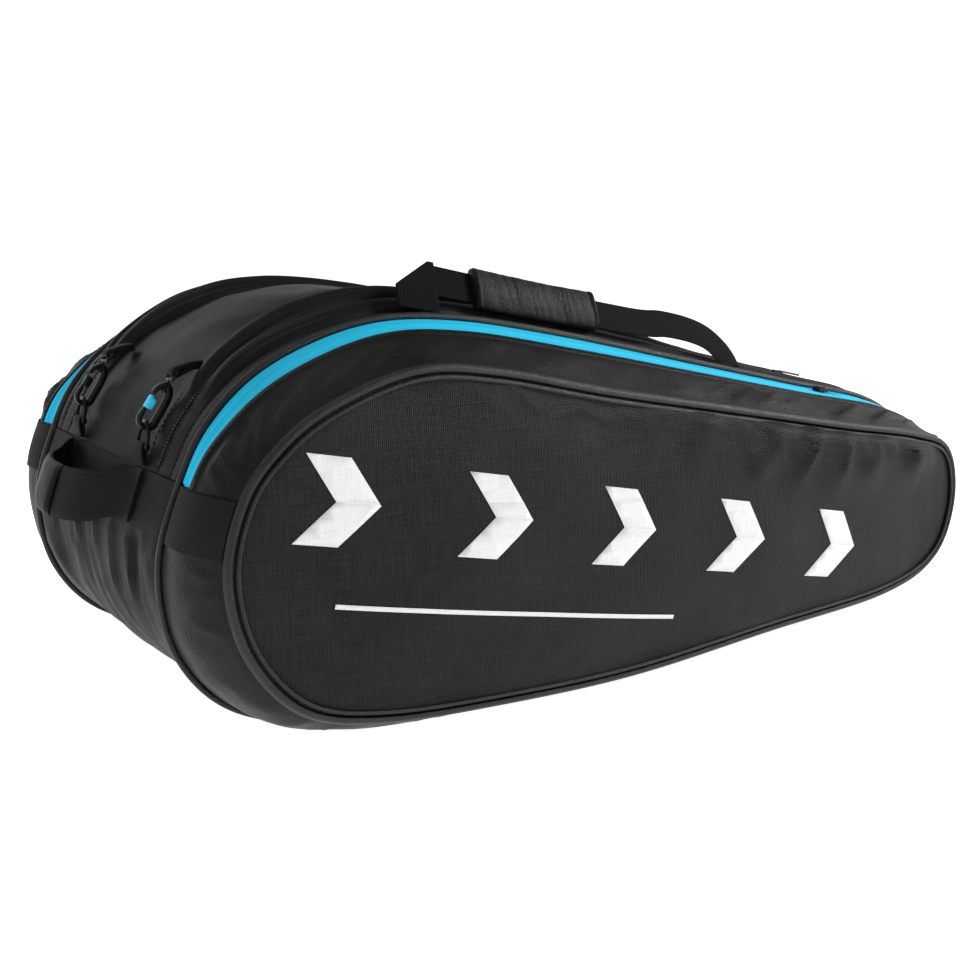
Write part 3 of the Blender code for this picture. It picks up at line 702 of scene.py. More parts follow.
def panel_out(sign, x, z):
    """How far the panel's outer face stands from the middle plane."""
    share, angle = panel_share(x, z)
    share = min(share, 1.0)
    spot = Vector((x, sign * 0.7, z))
    edge = smooth(0.0, 0.1, 1 - share)
    dome = DOME * (1 - share ** 2.4)
    soft = wave(spot, 7.0, 21) * 0.0034 + wave(spot, 17.0, 22) * 0.0016
    # Creases that the seam pulls in, short and square to the edge, mostly over the top
    rim = smooth(0.66, 0.97, share)
    pull = fold_at(x * 24.0 + z * 6.0, share * 2.0, sign * 2.0, 23, 2.3)
    top = smooth(0.4, 0.9, math.sin(angle)) * 0.75 + 0.25
    puckers = pull * 0.003 * rim * top
    # Slack folds that hang from the top seam, deeper towards the small end
    high = z - PANEL_MIDDLE.z
    slack = smooth(-0.08, 0.12, x) * smooth(0.3, 0.8, share) * smooth(-0.02, 0.02, high)
    folds = fold_at(x * 22.0 - high * 7.0, high * 4.0, sign * 3.0, 24, 1.5) * 0.011 * slack
    folds += fold_at(x * 41.0 + high * 12.0, high * 7.0, sign * 3.0, 25, 1.8) * 0.003 * slack
    seam_drop = -0.0016 * (1 - smooth(0.0, 0.035, 1 - share))
    return PANEL_Y - CORD_R + GAP + PANEL_T + dome + (soft + puckers + folds - 0.0012) * edge + seam_drop


PANEL_IN = PANEL_Y - CORD_R + GAP
PANEL_RINGS = 44


def panel_body(sign):
    """The side panel, drawn in rings that close in on its middle, outer and inner face."""
    bm = bmesh.new()
    edges = [panel_edge(i) for i in range(AROUND)]
    rims = []
    for look in (0, 1):
        rows = []
        for r in range(PANEL_RINGS):
            share = (1 - r / PANEL_RINGS) ** 0.85
            row = []
            for edge in edges:
                p = PANEL_MIDDLE + (edge - PANEL_MIDDLE) * share
                out = PANEL_IN + DOME * 0.8 * (1 - share ** 2) if look else panel_out(sign, p.x, p.z)
                row.append(bm.verts.new((p.x, sign * out, p.z)))
            rows.append(row)
        out = PANEL_IN + DOME * 0.8 if look else panel_out(sign, PANEL_MIDDLE.x, PANEL_MIDDLE.z)
        tip = bm.verts.new((PANEL_MIDDLE.x, sign * out, PANEL_MIDDLE.z))
        for i in range(AROUND):
            j = (i + 1) % AROUND
            for near, far in zip(rows, rows[1:]):
                bm.faces.new((near[i], near[j], far[j], far[i])).material_index = look
            bm.faces.new((rows[-1][i], rows[-1][j], tip)).material_index = look
        rims.append(rows[0])
    for i in range(AROUND):
        j = (i + 1) % AROUND
        bm.faces.new((rims[0][i], rims[0][j], rims[1][j], rims[1][i]))
    return flat_uv(bm)


def divider_plate(sign):
    """The lining wall between a main compartment and its side pocket."""
    faces = (sign * (DIVIDER_IN + 0.0008), sign * (DIVIDER_OUT - 0.0008))
    rows = [[shell_point(i / AROUND, y, -0.0006) for i in range(AROUND)] for y in faces]
    return flat_uv(skinned(rows, range(2), range(AROUND + 1)))


def cloth(name, ys, lift, divide, look, body, node, slot="gusset_cloth"):
    """A lined strip of cloth round the bag, kept on one side of the fold."""
    return add(name, divide(ring_skin(ys, lift, SHELL)), [look, LINING], body, [node], slot)


def build_middle():
    ys = steps_between(GAP - DIVIDER_IN, DIVIDER_IN - GAP, 44)
    cloth("main_gusset_cloth", ys, main_lift, lower, DULL_LEATHER, "bag", "main_gusset_lower")
    ys = steps_between(-CENTRE_EDGE, CENTRE_EDGE, 26)
    cloth("centre_strip_cloth", ys, centre_lift, upper, DULL_LEATHER, "bag", "centre_strip")
    plate = frame["nodes"]["centre_divider"]
    plate.data.materials.clear()
    plate.data.materials.append(LINING)


def build_pocket(side, sign):
    """Side pocket: its gusset, the panel with its piping, and the divider with its seam cord."""
    mouth, lid = side + "_mouth", side + "_lid"
    ys = steps_between(sign * (DIVIDER_OUT + GAP), sign * CORD_IN, 20)
    node = side + "_pocket_gusset_lower"
    cloth(side + "_pocket_cloth_lower", ys, pocket_lift, lower, LEATHER, "bag", node)
    ys = steps_between(sign * (POCKET_EDGE + GAP), sign * (POCKET_EDGE + 0.009), 12)
    ys += steps_between(sign * (POCKET_EDGE + 0.011), sign * CORD_IN, 12)
    cloth(side + "_pocket_cloth_upper", ys, lid_lift, upper, LEATHER, lid, side + "_pocket_gusset_upper")
    for part, divide, body in (("lower", lower, "bag"), ("upper", upper, lid)):
        bm = divide(panel_body(sign))
        node = side + "_panel_" + part
        piece = add(side + "_panel_cloth_" + part, bm, [PANEL, LINING], body, [node], "panel_cloth")
        # The piping cord and the panel lip use the piping material, whose lighter base colour is a painted
        # highlight.
        cord = divide(tube_ring(sign * PANEL_Y, 0.0, CORD_R))
        node = side + "_piping_" + part
        add(side + "_piping_cord_" + part, cord, PIPING_WITH_PAINTED_HIGHLIGHT, body, [node], "gusset_cloth")
        lip = divide(tube_ring(sign * (PANEL_Y + 0.0018), -0.0052, 0.0015))
        add(side + "_panel_lip_" + part, lip, PIPING_WITH_PAINTED_HIGHLIGHT, body, [], "gusset_cloth")
    for part, divide, body in (("lower", lower, "bag"), ("upper", upper, mouth)):
        # The seam cord uses the same piping material, whose lighter base colour is a painted highlight.
        cord = divide(tube_ring(sign * SEAM_Y, 0.0016, 0.0025))
        add(side + "_seam_cord_" + part, cord, PIPING_WITH_PAINTED_HIGHLIGHT, body, [], "gusset_cloth")
        node = side + "_divider_" + part
        add(side + "_divider_lining_" + part, divide(divider_plate(sign)), LINING, body, [node], "lining")


def build_openings(side, sign):
    """The blue pocket zip's tapes, the leather strip and the padded flaps over the main zip."""
    mouth, lid = side + "_mouth", side + "_lid"
    for part, start, end, count, body in (
        ("inner", DIVIDER_OUT + GAP, POCKET_ZIP_Y - GAP / 2, 14, mouth),
        ("outer", POCKET_ZIP_Y + GAP / 2, POCKET_EDGE, 12, lid),
    ):
        bm = upper(ring_skin(steps_between(sign * start, sign * end, count), tape_lift, 0.0018, 0))
        add(side + "_blue_tape_" + part, bm, BLUE, body, [side + "_pocket_zip_" + part], "blue_tape")
    ys = steps_between(sign * (STRIP_EDGE + GAP), sign * (DIVIDER_IN - GAP), 8)
    cloth(side + "_strip_cloth", ys, strip_lift, upper, LEATHER, mouth, side + "_main_strip_upper")
    for part, (start, end), body in (("outer", OUTER_FLAP, mouth), ("inner", INNER_FLAP, "bag")):
        ys = steps_between(sign * start, sign * end, 18)
        name, node = side + "_zip_flap_" + part, side + "_main_zip_" + part
        flap = cloth(name, ys, flap_lift(start, end), upper, BLACK_TAPE, body, node, "black_tape")


# Webbing, handles and straps

def ribbon(first_edge, second_edge, thick, across=8):
    """A strip of webbing between two edges, given as lists of points, with rounded long edges."""
    last = len(first_edge) - 1
    middles = [(a + b) / 2 for a, b in zip(first_edge, second_edge)]
    rows, runs = [], [0.0]
    for k, (a, b) in enumerate(zip(first_edge, second_edge)):
        step = middles[min(last, k + 1)] - middles[max(0, k - 1)]
        up = step.cross(b - a).normalized()
        row = []
        for top in (1, -1):
            for j in range(across + 1)[::top]:
                lift = thick / 2 * (0.45 if j in (0, across) else 1.0)
                row.append(a.lerp(b, j / across) + up * top * lift)
        rows.append(row)
        if k:
            runs.append(runs[-1] + step.length / (2 if k < last else 1))
    width = (second_edge[0] - first_edge[0]).length
    widths = [width * j / across for j in range(across + 1)]
    return skinned(rows, runs, widths + widths[::-1] + widths[:1])


def band_cut(bm, side):
    cut(bm, FOLD_MID - FOLD_UP * BAND_DROP, FOLD_UP)
    cut(bm, FOLD_MID - FOLD_UP * (BAND_DROP + BAND_W), -FOLD_UP)
    return cut(bm, Vector((0.0, 0.0, 0.0)), Vector((-side, 0.0, 0.0)))


def swap_uv(bm):
    """Turns the stored UVs so that webbing ribs cross the strip."""
    uv = uv_of(bm)
    for face in bm.faces:
        for corner in face.loops:
            corner[uv].uv = (corner[uv].uv.y, corner[uv].uv.x)
    return bm


def build_bands():
    parts = (
        ("middle", -DIVIDER_IN + 0.0012, DIVIDER_IN - 0.0012, 40),
        ("front", -CORD_IN + 0.0006, -DIVIDER_OUT - 0.0008, 12),
        ("rear", DIVIDER_OUT + 0.0008, CORD_IN - 0.0006, 12),
    )
    for name, side in (("band_big_end", -1), ("band_small_end", 1)):
        for part, start, end, count in parts:
            def lift(u, y, low=start, high=end):
                base = shell_point(u, y)
                sag = 0.0004 * wave(base, 40.0, 31)
                return 0.0019 + sag - 0.0009 * (1 - smooth(0.0, 0.003, min(y - low, high - y)))
            bm = swap_uv(band_cut(ring_skin(steps_between(start, end, count), lift, -0.0006, 0), side))
            add(name + "_webbing_" + part, bm, WEBBING, "bag", [name] if part == "middle" else [], "webbing")


def u_at_height(height):
    """Where the rising big end reaches this height above the fold line."""
    return u_where(-0.05, 0.12, lambda u: above_fold(shell_point(u, 0.0)) < height)


def grab_path():
    """Path of the grab handle as (y, distance off the skin)."""
    side = ((-0.082, 0.0044), (-0.071, 0.0044), (-0.062, 0.0085), (-0.052, 0.019), (-0.038, 0.029))
    middle = ((-0.02, 0.0345), (0.0, 0.0358), (0.02, 0.0345))
    points = side + middle + tuple((-y, d) for y, d in reversed(side))
    return smoothed([Vector((y, d, 0.0)) for y, d in points], 7)


def grab_edges(path):
    low_u = u_at_height(-BAND_DROP - BAND_W + 0.0005)
    high_u = u_at_height(-BAND_DROP - 0.0005)
    edges = ([], [])
    for spot in path:
        for edge, u in zip(edges, (low_u, high_u)):
            skin = shell_point(u, spot.x)
            out = (shell_point(u, spot.x, 1.0) - skin).normalized()
            away = out.lerp(Vector((-0.995, 0.0, -0.1)), smooth(0.004, 0.02, spot.y))
            edge.append(skin + away * spot.y)
    return edges


def soft_bar(frames, length, girth, shape, around=48):
    """A padded bar: frames hold centre, side and up along it, and shape gives the section's outline."""
    last = len(frames) - 1
    rows = []
    for i, (centre, side, up) in enumerate(frames):
        row = []
        for k in range(around):
            across, rise = shape(i / last, 2 * math.pi * k / around)
            row.append(centre + side * across + up * rise)
        rows.append(row)
    bm = skinned(rows, steps_between(0.0, length, last), steps_between(0.0, girth, around))
    bmesh.ops.recalc_face_normals(bm, faces=bm.faces)
    return bm


def squared(angle, half_side, half_up, side_power, up_power):
    """A point on a rounded box-like outline."""
    c, s = math.cos(angle), math.sin(angle)
    side = math.copysign(abs(c) ** side_power, c) * half_side
    return side, math.copysign(abs(s) ** up_power, s) * half_up


def build_grab_handle():
    first, second = grab_edges(grab_path())
    add("grab_webbing", ribbon(first, second, 0.0024, 10), WEBBING, "bag", ["grab_handle"], "webbing")
    # Leather sleeve rolled round the far half of the loop
    frames = []
    for k in range(1, len(first) - 1):
        centre = (first[k] + second[k]) / 2
        if -0.012 < centre.y < 0.042:
            side = (second[k] - first[k]).normalized()
            frames.append((centre, side, (first[k + 1] - first[k - 1]).cross(side).normalized()))

    def shape(f, angle):
        side, up = squared(angle, 0.0188, 0.0046 * (0.6 + 0.4 * blunt(f, 0.05)), 0.62, 0.8)
        dent = 1 + 0.1 * wave(Vector((f * 5.0, side * 60.0, up * 80.0)), 1.0, 51)
        seam = 0.0008 * hump(min(f, 1 - f), 0.06, 0.012)
        return side, (up - math.copysign(seam, up)) * dent

    bm = soft_bar(frames, 0.06, 0.09, shape)
    add("grab_sleeve", bm, DULL_LEATHER, "bag", [], "gusset_cloth", 60.0)


WEB_W = 0.036
HANDLE_Y = 0.1258
HANDLE_X = (-0.192, 0.12)
HANDLE_H = 0.042
HANDLE_BAR = 0.026
HANDLE_LIFT = 0.0036
LEANS = {"front": 32.0, "rear": -72.0}
GRIP_X = (-0.11, 0.008)
GRIP_SHIFT = -0.011  # the grip has slid towards the big end


def skin_at_x(x, y):
    return shell_point(u_where(0.16, 0.5, lambda u: shell_point(u, y).x < x), y, 0.0)


def handle_frame(sign, lean):
    """Frame at the handle's anchor line: X along the top, Z up the handle at its lean."""
    left, right = (skin_at_x(x + WEB_W / 2, sign * HANDLE_Y) for x in HANDLE_X)
    way = (right - left).normalized()
    up = Vector((-way.z, 0.0, way.x))
    lean = math.radians(lean)
    tip = (up * math.cos(lean) - ACROSS * sign * math.sin(lean)).normalized()
    face = tip.cross(way).normalized()
    return standing(way, face, tip, left + up * HANDLE_LIFT)


def flat_edges(here, spots, half):
    """Both edges of a strip that follows (x, z) spots in a handle's own plane, waving a little across it."""
    edges = ([], [])
    for k, (spot, way) in enumerate(zip(spots, ways(spots))):
        side = Vector((-way.z, 0.0, way.x))
        wander = ACROSS * (0.0003 + 0.0006 * math.sin(9 * k / (len(spots) - 1)))
        for edge, turn in zip(edges, (-1, 1)):
            edge.append(here @ (spot + side * half * turn + wander))
    return edges


def folded_leg(here, body, name):
    """The near leg: wide webbing folded over at a slant, with the bar sewn behind it."""
    bm = bmesh.new()
    uv = uv_of(bm)
    steps, wide = 18, 14
    verts, spots = [], []
    for k in range(steps + 1):
        f = k / steps
        for j in range(wide + 1):
            g = j / wide
            across = WEB_W * (g - 0.5)
            top = HANDLE_H - 0.024 * (1 - min(1.0, g / 0.85))
            thick = -0.0013 + 0.0007 * math.sin(3.8 * f + g) - 0.0007 * f
            verts.append(bm.verts.new(here @ Vector((across, thick, 0.0002 + top * f))))
            spots.append((top * f, across))
    for k in range(steps):
        for j in range(wide):
            corners = [r * (wide + 1) + c for r, c in ((k, j), (k, j + 1), (k + 1, j + 1), (k + 1, j))]
            face = bm.faces.new([verts[n] for n in corners])
            for corner, n in zip(face.loops, corners):
                corner[uv].uv = spots[n]
    leg = finish(name, bm, HANDLE_WEBBING)
    thicken(leg, 0.0016)
    rounding = leg.modifiers.new("rounding", "BEVEL")
    rounding.width = 0.0006
    rounding.segments = 2
    place(leg, body, [], "webbing")


def build_handle(side, sign):
    here = handle_frame(sign, LEANS[side])
    middle = HANDLE_H - HANDLE_BAR / 2
    # Bar and far leg: one length of webbing that arches and then turns down to its anchor
    points = [(0.0125, middle), (0.03, middle), (0.1, middle - 0.001), (0.215, middle - 0.0015)]
    points += [(0.25, middle + 0.0015), (0.28, middle + 0.0005), (0.3, 0.025), (0.3135, 0.016)]
    points += [(0.3195, 0.0075), (0.3205, 0.0006)]
    path = smoothed([Vector((x, 0.0, z)) for x, z in points], 8)
    edges = flat_edges(here, path, HANDLE_BAR / 2 - 0.0004)
    bar = ribbon(*edges, 0.0015, 10)
    add(side + "_handle_bar", bar, HANDLE_WEBBING, side + "_carry", [side + "_handle"], "webbing")
    folded_leg(here, side + "_carry", side + "_handle_leg")


def build_grip():
    """Leather grip wrapped round the front handle's bar and closed with a stitched flap."""
    here = handle_frame(-1, LEANS["front"])
    start = GRIP_X[0] - (HANDLE_X[0] + WEB_W / 2) + GRIP_SHIFT
    length = GRIP_X[1] - GRIP_X[0]
    middle = HANDLE_H - HANDLE_BAR / 2
    half_tall = HANDLE_BAR / 2 + 0.004
    turn = here.to_3x3()
    frames = []
    for i in range(97):
        f = i / 96
        sag = -0.0012 * math.sin(math.pi * f) + 0.0008 * wave(Vector((f * 2.0, 0.0, 0.0)), 1.0, 43)
        centre = here @ Vector((start + length * f, 0.0, middle + sag))
        frames.append((centre, turn @ Vector((0.0, 0.0, 1.0)), turn @ ACROSS))

    def shape(f, angle):
        end = blunt(f, 0.025)
        side, up = squared(angle, half_tall * (0.95 + 0.05 * end), 0.006 * (0.8 + 0.2 * end), 0.6, 0.72)
        spot = Vector((f * 3.6, side * 40.0, up * 60.0))
        crease = fold_at(f * 11.0 + side * 14.0, side * 9.0, up * 20.0, 42, 2.2) * 0.0007
        bound = 0.0009 * (hump(f, 0.985, 0.01) + hump(f, 0.015, 0.01))
        flap = 0.0009 * smooth(0.715, 0.722, f) + bound
        seam = 0.001 * (hump(f, 0.735, 0.006) + hump(f, 0.955, 0.006))
        rise = abs(up) * (1 + 0.12 * wave(spot, 1.0, 41)) + (flap - crease - seam) * min(1.0, abs(up) / 0.004)
        return side, math.copysign(min(0.0079, rise), up)

    bm = soft_bar(frames, length, 0.094, shape, 56)
    add("grip_padding", bm, LEATHER, "front_carry", ["grip_wrap"], "gusset_cloth", 60.0)


# Backpack straps on the rear side
STRAP_Y = 0.2172
PAD_T = 0.009
PAD_W = 0.05
STRAP_WEB_W = 0.024


def build_strap(name, height, body):
    """A padded strap that bows off the rear panel, and its webbing tail."""
    here = standing(FOLD_DIR, FOLD_UP, ACROSS, FOLD_MID + FOLD_UP * height + ACROSS * STRAP_Y)
    turn = here.to_3x3()
    points = [Vector((-0.214, 0.0, PAD_T / 2)), Vector((-0.19, 0.0, PAD_T / 2 + 0.001))]
    for k in range(9):
        rise = PAD_T / 2 + 0.003 + 0.022 * math.sin(math.pi * k / 8)
        points.append(Vector((-0.17 + 0.26 * k / 8, 0.0, rise)))
    points.append(Vector((0.1045, 0.0, PAD_T / 2 + 0.002)))
    path = smoothed(points, 10)
    frames = []
    for spot, way in zip(path, ways(path)):
        frames.append((here @ spot, turn @ ACROSS, turn @ Vector((-way.z, 0.0, way.x))))

    def shape(f, angle):
        end = blunt(f, 0.03)
        side, up = squared(angle, (PAD_W / 2 - 0.0006) * (0.86 + 0.14 * end), PAD_T / 2 - 0.0003, 0.6, 0.75)
        groove = 0.0011 * hump(abs(side), 0.012, 0.0016) - 0.0003 * math.sin(f * 190.0)
        return side, up * (0.55 + 0.45 * end) - math.copysign(groove, up) * min(1.0, abs(up) / 0.003)

    bm = soft_bar(frames, 0.33, 0.118, shape, 40)
    pad = add(name + "_strap_padding", bm, LEATHER, body, [name + "_strap_pad"], "gusset_cloth", 60.0)
    points = ((0.1232, 0.0094), (0.1234, 0.003), (0.128, 0.0012), (0.15, 0.0012), (0.23, 0.0009))
    path = smoothed([Vector((x, 0.0, z)) for x, z in points], 8)
    edges = [[here @ (p + Vector((0.0, side * STRAP_WEB_W / 2, 0.0))) for p in path] for side in (-1, 1)]
    web = ribbon(*edges, 0.0014, 8)
    add(name + "_strap_webbing", web, HANDLE_WEBBING, body, [name + "_strap_web"], "webbing")


# Small hard parts

def soften(node, look, width, puff=0.0):
    """Gives a CAD node a better material, swells it a little and rounds its edges."""
    obj = frame["nodes"][node]
    obj.data.materials.clear()
    obj.data.materials.append(look)
    obj.data.shade_smooth()
    weld = obj.modifiers.new("weld", "WELD")
    weld.merge_threshold = 1e-6
    if puff:
        swell = obj.modifiers.new("swell", "DISPLACE")
        swell.strength = puff
        swell.mid_level = 0.0
    bevel = obj.modifiers.new("rounding", "BEVEL")
    bevel.width = width
    bevel.segments = 3
    bevel.limit_method = "ANGLE"
    bevel.angle_limit = math.radians(25.0)


def build_hard_parts():
    for side in ("front", "rear"):
        soften(side + "_swivel_eye", HOOK, 0.0004)
        soften(side + "_ring", HOOK, 0.0005, puff=0.0003)
        soften(side + "_ring_tab", WEBBING, 0.0003, puff=0.0005)
        soften(side + "_hook_loop", WEBBING, 0.0003, puff=0.0014)
        for kind in ("pocket", "main"):
            soften(side + "_" + kind + "_slider", SLIDER, 0.0005)
    for name in ("upper", "lower"):
        soften(name + "_ladder_lock", HOOK, 0.0006)


# Snap hooks, drawn in small steps off the skin and up along the swivel
HOOK_SCALE = 0.0008
HOOK_MID = 12.0  # the swivel's axis
SWIVEL_Z = 10.0  # the swivel joint's own place on it
JOINTS = {joint["name"]: joint for joint in frame["joints"]}


def build_hook(side):
    swivel = JOINTS[side + "_hook_swivel"]
    middle, up = Vector(swivel["pos_m"]), Vector(swivel["axis"])
    off = Vector((-up.z, 0.0, up.x))

    def spot(x, z):
        return middle + (off * (x - HOOK_MID) + up * (z - SWIVEL_Z)) * HOOK_SCALE

    # Forged body: an open loop with a wide nose, thicker where the swivel passes through it
    path = [Vector((18.8, 0.0, 5.6))]
    for k in range(13):
        angle = -math.pi * k / 12
        path.append(Vector((HOOK_MID + 7.0 * math.cos(angle), 0.0, 7.0 * math.sin(angle) - 2.6)))
    path += [Vector((4.9, 0.0, 14.0)), Vector((6.0, 0.0, 24.0)), Vector((9.6, 0.0, 29.6))]
    path += [Vector((14.4, 0.0, 29.6)), Vector((18.0, 0.0, 25.0)), Vector((18.8, 0.0, 19.4))]
    path = smoothed(path, 4)
    frames = []
    for point, way in zip(path, ways(path)):
        frames.append((spot(point.x, point.z), ACROSS, off * way.z - up * way.x))

    def shape(f, angle):
        end = HOOK_SCALE * (0.75 + 0.25 * smooth(0.0, 0.03, min(f, 1 - f)))
        thick = 2.2 + 1.3 * smooth(0.42, 0.56, f) * (1 - smooth(0.85, 0.93, f))
        return squared(angle, 2.8 * end, thick * end, 0.7, 0.7)

    bm = box_uv(soft_bar(frames, 0.08, 0.008, shape, 20))
    add(side + "_hook_body", bm, HOOK, side + "_snap", [side + "_hook"], "hook_black", 60.0)
    # Sprung gate with a wide thumb piece
    frames = [(spot(18.6, z), ACROSS, off) for z in steps_between(5.8, 17.2, 14)]

    def thumb(f, angle):
        wide = smooth(0.0, 0.08, f) * (1 - smooth(0.8, 0.95, f))
        half, rise = (2.4 + 1.2 * wide) * HOOK_SCALE, (1.7 + 1.9 * wide) * HOOK_SCALE
        across, up = squared(angle, half, rise, 0.5, 0.5)
        rib = 0.00012 * math.sin(f * 60.0) * wide
        return across + math.copysign(rib, across), up - HOOK_SCALE * 1.9 * wide

    look, slot = (BLUE_PLASTIC, "blue_tape_hard") if side == "front" else (HOOK, "hook_black")
    bm = box_uv(soft_bar(frames, 0.01, 0.02, thumb, 24))
    add(side + "_gate_thumb", bm, look, side + "_gate", [side + "_hook_gate"], slot, 60.0)


# Zip teeth and stitches

def small_bar(bm, centre, along, side, up, sizes):
    """A bar with chamfered ends; sizes are its half lengths along, across and up."""
    corners = []
    for a, shrink in ((-1.0, 0.55), (-0.6, 1.0), (0.6, 1.0), (1.0, 0.55)):
        row = []
        for s, t in ((-1, -1), (1, -1), (1, 1), (-1, 1)):
            offset = along * a * sizes[0] + side * s * sizes[1] * shrink + up * t * sizes[2] * shrink
            row.append(centre + offset)
        corners.append(row)
    skinned(corners, range(4), range(5), bm=bm)


def on_shell(u, y, d):
    """A point on the shell with its directions along, across and out."""
    point = shell_point(u, y, d)
    along = (shell_point(u + 0.0004, y, d) - shell_point(u - 0.0004, y, d)).normalized()
    across = (shell_point(u, y + 0.0005, d) - shell_point(u, y - 0.0005, d)).normalized()
    return point, along, across, along.cross(across).normalized()


def places_above(pitch, y, margin):
    """Places round the bag at a steady pitch, where its skin is this far above the fold line."""
    length = 0.0
    while length < LENGTHS[-1]:
        u = u_at_length(length)
        if above_fold(shell_point(u, y)) > margin:
            yield u
        length += pitch


def teeth(y, d, turn):
    bm = bmesh.new()
    for u in places_above(0.0024, y, 0.004):
        point, along, across, out = on_shell(u, y, d)
        small_bar(bm, point, across * turn, along, out, (0.0013, 0.0006, 0.0006))
    return box_uv(bm)


def stitches(sign, seams):
    """Stitch rows, each at a distance off the middle and lying on the lift of its cloth."""
    bm = bmesh.new()
    for off, lift in seams:
        for u in places_above(0.0042, 0.0, 0.006):
            point, along, across, out = on_shell(u, sign * off, lift(u, sign * off) + 0.00015)
            small_bar(bm, point, along, across, out, (0.0014, 0.00028, 0.00028))
    return box_uv(bm)


def build_zips_and_stitches(side, sign):
    mouth, lid = side + "_mouth", side + "_lid"
    for name, y, d, turn, look, body in (
        ("_main_teeth_inner", MAIN_ZIP_Y - 0.001, 0.0016, 1, COIL, "bag"),
        ("_main_teeth_outer", MAIN_ZIP_Y + 0.001, 0.0016, -1, COIL, mouth),
        ("_pocket_teeth_inner", POCKET_ZIP_Y - 0.0012, -0.0024, 1, COIL_BLUE, mouth),
        ("_pocket_teeth_outer", POCKET_ZIP_Y + 0.0012, -0.0024, -1, COIL_BLUE, lid),
    ):
        add(side + name, teeth(sign * y, d, turn), look, body, angle=60.0)
    on_mouth = ((MAIN_ZIP_Y + 0.0049, flap_lift(*OUTER_FLAP)), (STRIP_EDGE + 0.003, strip_lift))
    on_bag = ((MAIN_ZIP_Y - 0.0049, flap_lift(*INNER_FLAP)), (CENTRE_EDGE - 0.003, centre_lift))
    for name, seams, body in (
        ("_lid_stitches", ((POCKET_EDGE + 0.0046, lid_lift),), lid),
        ("_mouth_stitches", on_mouth, mouth),
        ("_fixed_stitches", on_bag, "bag"),
    ):
        add(side + name, stitches(sign, seams), THREAD, body, angle=60.0)


# Print on the front panel: plain chevrons over a thin line

ROW_START = Vector((-0.318, 0.153))
ROW_END = Vector((0.27, 0.031))
ROW_WAY = (ROW_END - ROW_START).normalized()
ROW_UP = Vector((-ROW_WAY.y, ROW_WAY.x))
CHEVRON_H = 0.058
CHEVRONS = 5
STROKE = 0.032  # width of a chevron's stroke
TIP = 0.026  # how far its tip leads
LINE_START = Vector((-0.29, 0.106))
LINE_LONG = 0.3
LINE_H = 0.0032
PRINT_GRID = 0.009


def print_polygons():
    """Five plain chevrons in a row over one thin line."""
    pitch = (ROW_END - ROW_START).length / CHEVRONS
    made = []
    for k in range(CHEVRONS):
        foot = ROW_START + ROW_WAY * pitch * k
        tip = foot + ROW_WAY * TIP + ROW_UP * CHEVRON_H / 2
        head = foot + ROW_UP * CHEVRON_H
        for low, high in ((foot, tip), (tip, head)):
            made.append([low, low + ROW_WAY * STROKE, high + ROW_WAY * STROKE, high])
    end = LINE_START + ROW_WAY * LINE_LONG
    made.append([LINE_START, end, end + ROW_UP * LINE_H, LINE_START + ROW_UP * LINE_H])
    return made


def build_print():
    """The print, cut into a fine grid so that it can follow the panel, and split at the fold."""
    for part, away, body in (("lower", FOLD_UP, "bag"), ("upper", -FOLD_UP, "front_lid")):
        bm = bmesh.new()
        for polygon in print_polygons():
            bm.faces.new([bm.verts.new((p.x, 0.0, p.y)) for p in polygon])
        for k in range(80):
            crossed(bm, Vector((-0.36 + PRINT_GRID * k, 0.0, 0.0)), Vector((1.0, 0.0, 0.0)), False)
        for k in range(32):
            crossed(bm, Vector((0.0, 0.0, PRINT_GRID * k)), Vector((0.0, 0.0, 1.0)), False)
        crossed(bm, FOLD_MID, away)
        flat_uv(bm)
        for vert in bm.verts:
            vert.co.y = -panel_out(-1, vert.co.x, vert.co.z) - 0.00022
        for face in bm.faces:
            face.normal_update()
            if face.normal.y > 0:
                face.normal_flip()
        piece = shown("front_print_" + part, bm, INK)
        thicken(piece, 0.0002)
        place(piece, body)


build_middle()
for side_name, side_sign in SIDES:
    build_pocket(side_name, side_sign)
    build_openings(side_name, side_sign)
build_bands()
build_grab_handle()
for side_name, side_sign in SIDES:
    build_handle(side_name, side_sign)
build_grip()
build_strap("upper", 0.037, "rear_lid")
build_strap("lower", -0.052, "bag")
build_hard_parts()
for side_name, side_sign in SIDES:
    build_hook(side_name)
for side_name, side_sign in SIDES:
    build_zips_and_stitches(side_name, side_sign)
build_print()


# Stage

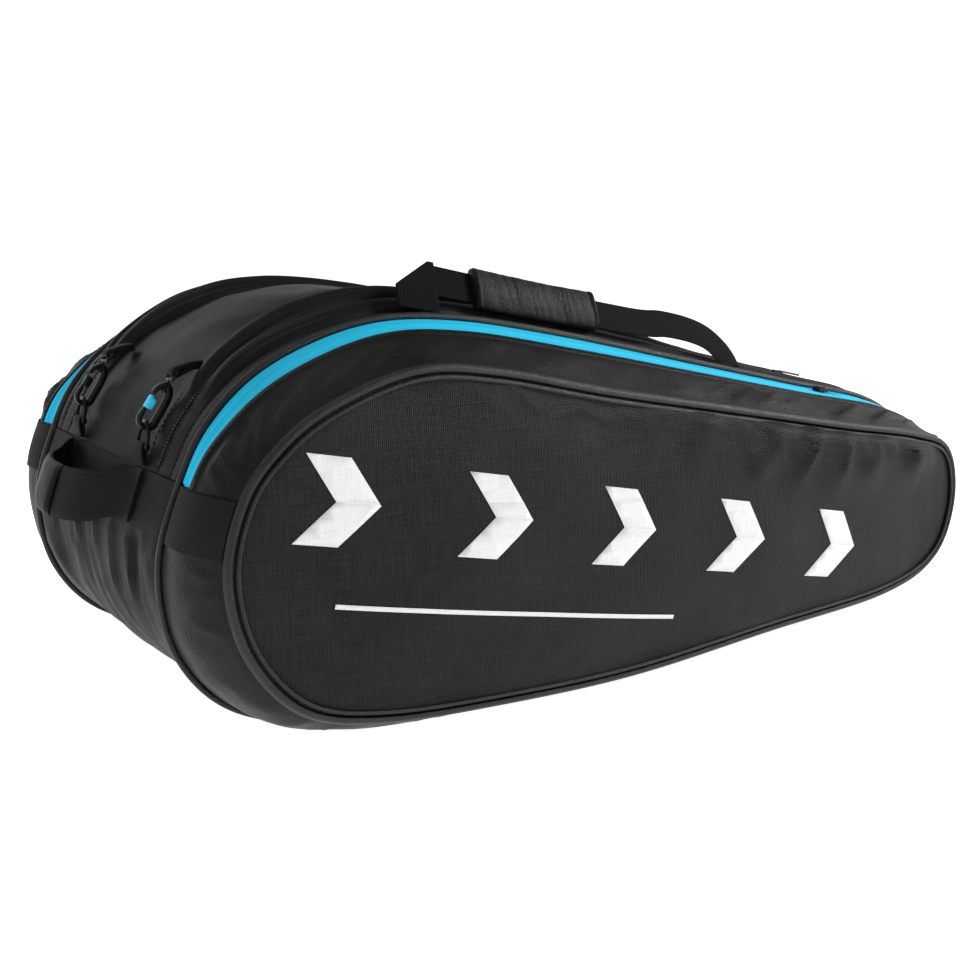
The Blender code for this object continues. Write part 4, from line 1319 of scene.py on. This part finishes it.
def build_stage():
    bm = bmesh.new()
    bmesh.ops.create_grid(bm, x_segments=1, y_segments=1, size=20.0)
    floor = finish("floor", bm, bpy.data.materials.new("pale_floor"))
    look = floor.data.materials[0]
    look.use_nodes = True
    shader = look.node_tree.nodes["Principled BSDF"].inputs
    shader["Base Color"].default_value = (0.9, 0.9, 0.9, 1.0)
    shader["Roughness"].default_value = 0.8
    shader["Emission Color"].default_value = (1.0, 1.0, 1.0, 1.0)
    shader["Emission Strength"].default_value = 0.95
    floor.location.z = -0.0005
    world = bpy.data.worlds.new("studio")
    world.use_nodes = True
    # White low down all round, like a bright backdrop, under a dimmer ceiling
    tree = world.node_tree
    sky = tree.nodes["Background"].inputs
    sky["Color"].default_value = (1.0, 1.0, 1.0, 1.0)
    height = add_node(tree, "SeparateXYZ", "Z", {"Vector": add_node(tree, "TexCoord", "Generated", {})})
    ends = {"From Min": 0.22, "From Max": 0.55, "To Min": 1.05, "To Max": 0.07}
    tree.links.new(add_node(tree, "MapRange", "Result", {"Value": height, **ends}), sky["Strength"])
    bpy.context.scene.view_settings.view_transform = "Standard"
    bpy.context.scene.world = world
    for name, spot, size, power in (
        ("key", (1.45, -0.75, 1.15), 0.5, 30.0),
        ("top", (-0.3, 0.5, 2.2), 0.8, 9.0),
        ("side", (-1.5, -1.1, 1.5), 0.4, 7.0),
        ("back", (-0.6, 1.9, 1.2), 1.2, 6.0),
    ):
        lamp = bpy.data.lights.new(name, "AREA")
        lamp.shape = "DISK"
        lamp.size = size
        lamp.energy = power
        obj = in_scene(name, lamp)
        obj.location = spot
        obj.rotation_euler = (Vector((0.0, 0.0, 0.12)) - Vector(spot)).to_track_quat("-Z", "Y").to_euler()


def build_camera():
    turn, dip = math.radians(34.88), math.radians(12.38)
    right = Vector((math.cos(turn), -math.sin(turn), 0.0))
    forward = Vector((math.sin(turn) * math.cos(dip), math.cos(turn) * math.cos(dip), -math.sin(dip)))
    up = right.cross(forward)
    data = bpy.data.cameras.new("camera")
    data.sensor_width = 36.0
    data.lens = 46.2
    camera = in_scene("camera", data)
    camera.matrix_world = standing(right, up, -forward, Vector((-0.6494, -0.8974, 0.3537)))
    bpy.context.scene.camera = camera


build_stage()
build_camera()
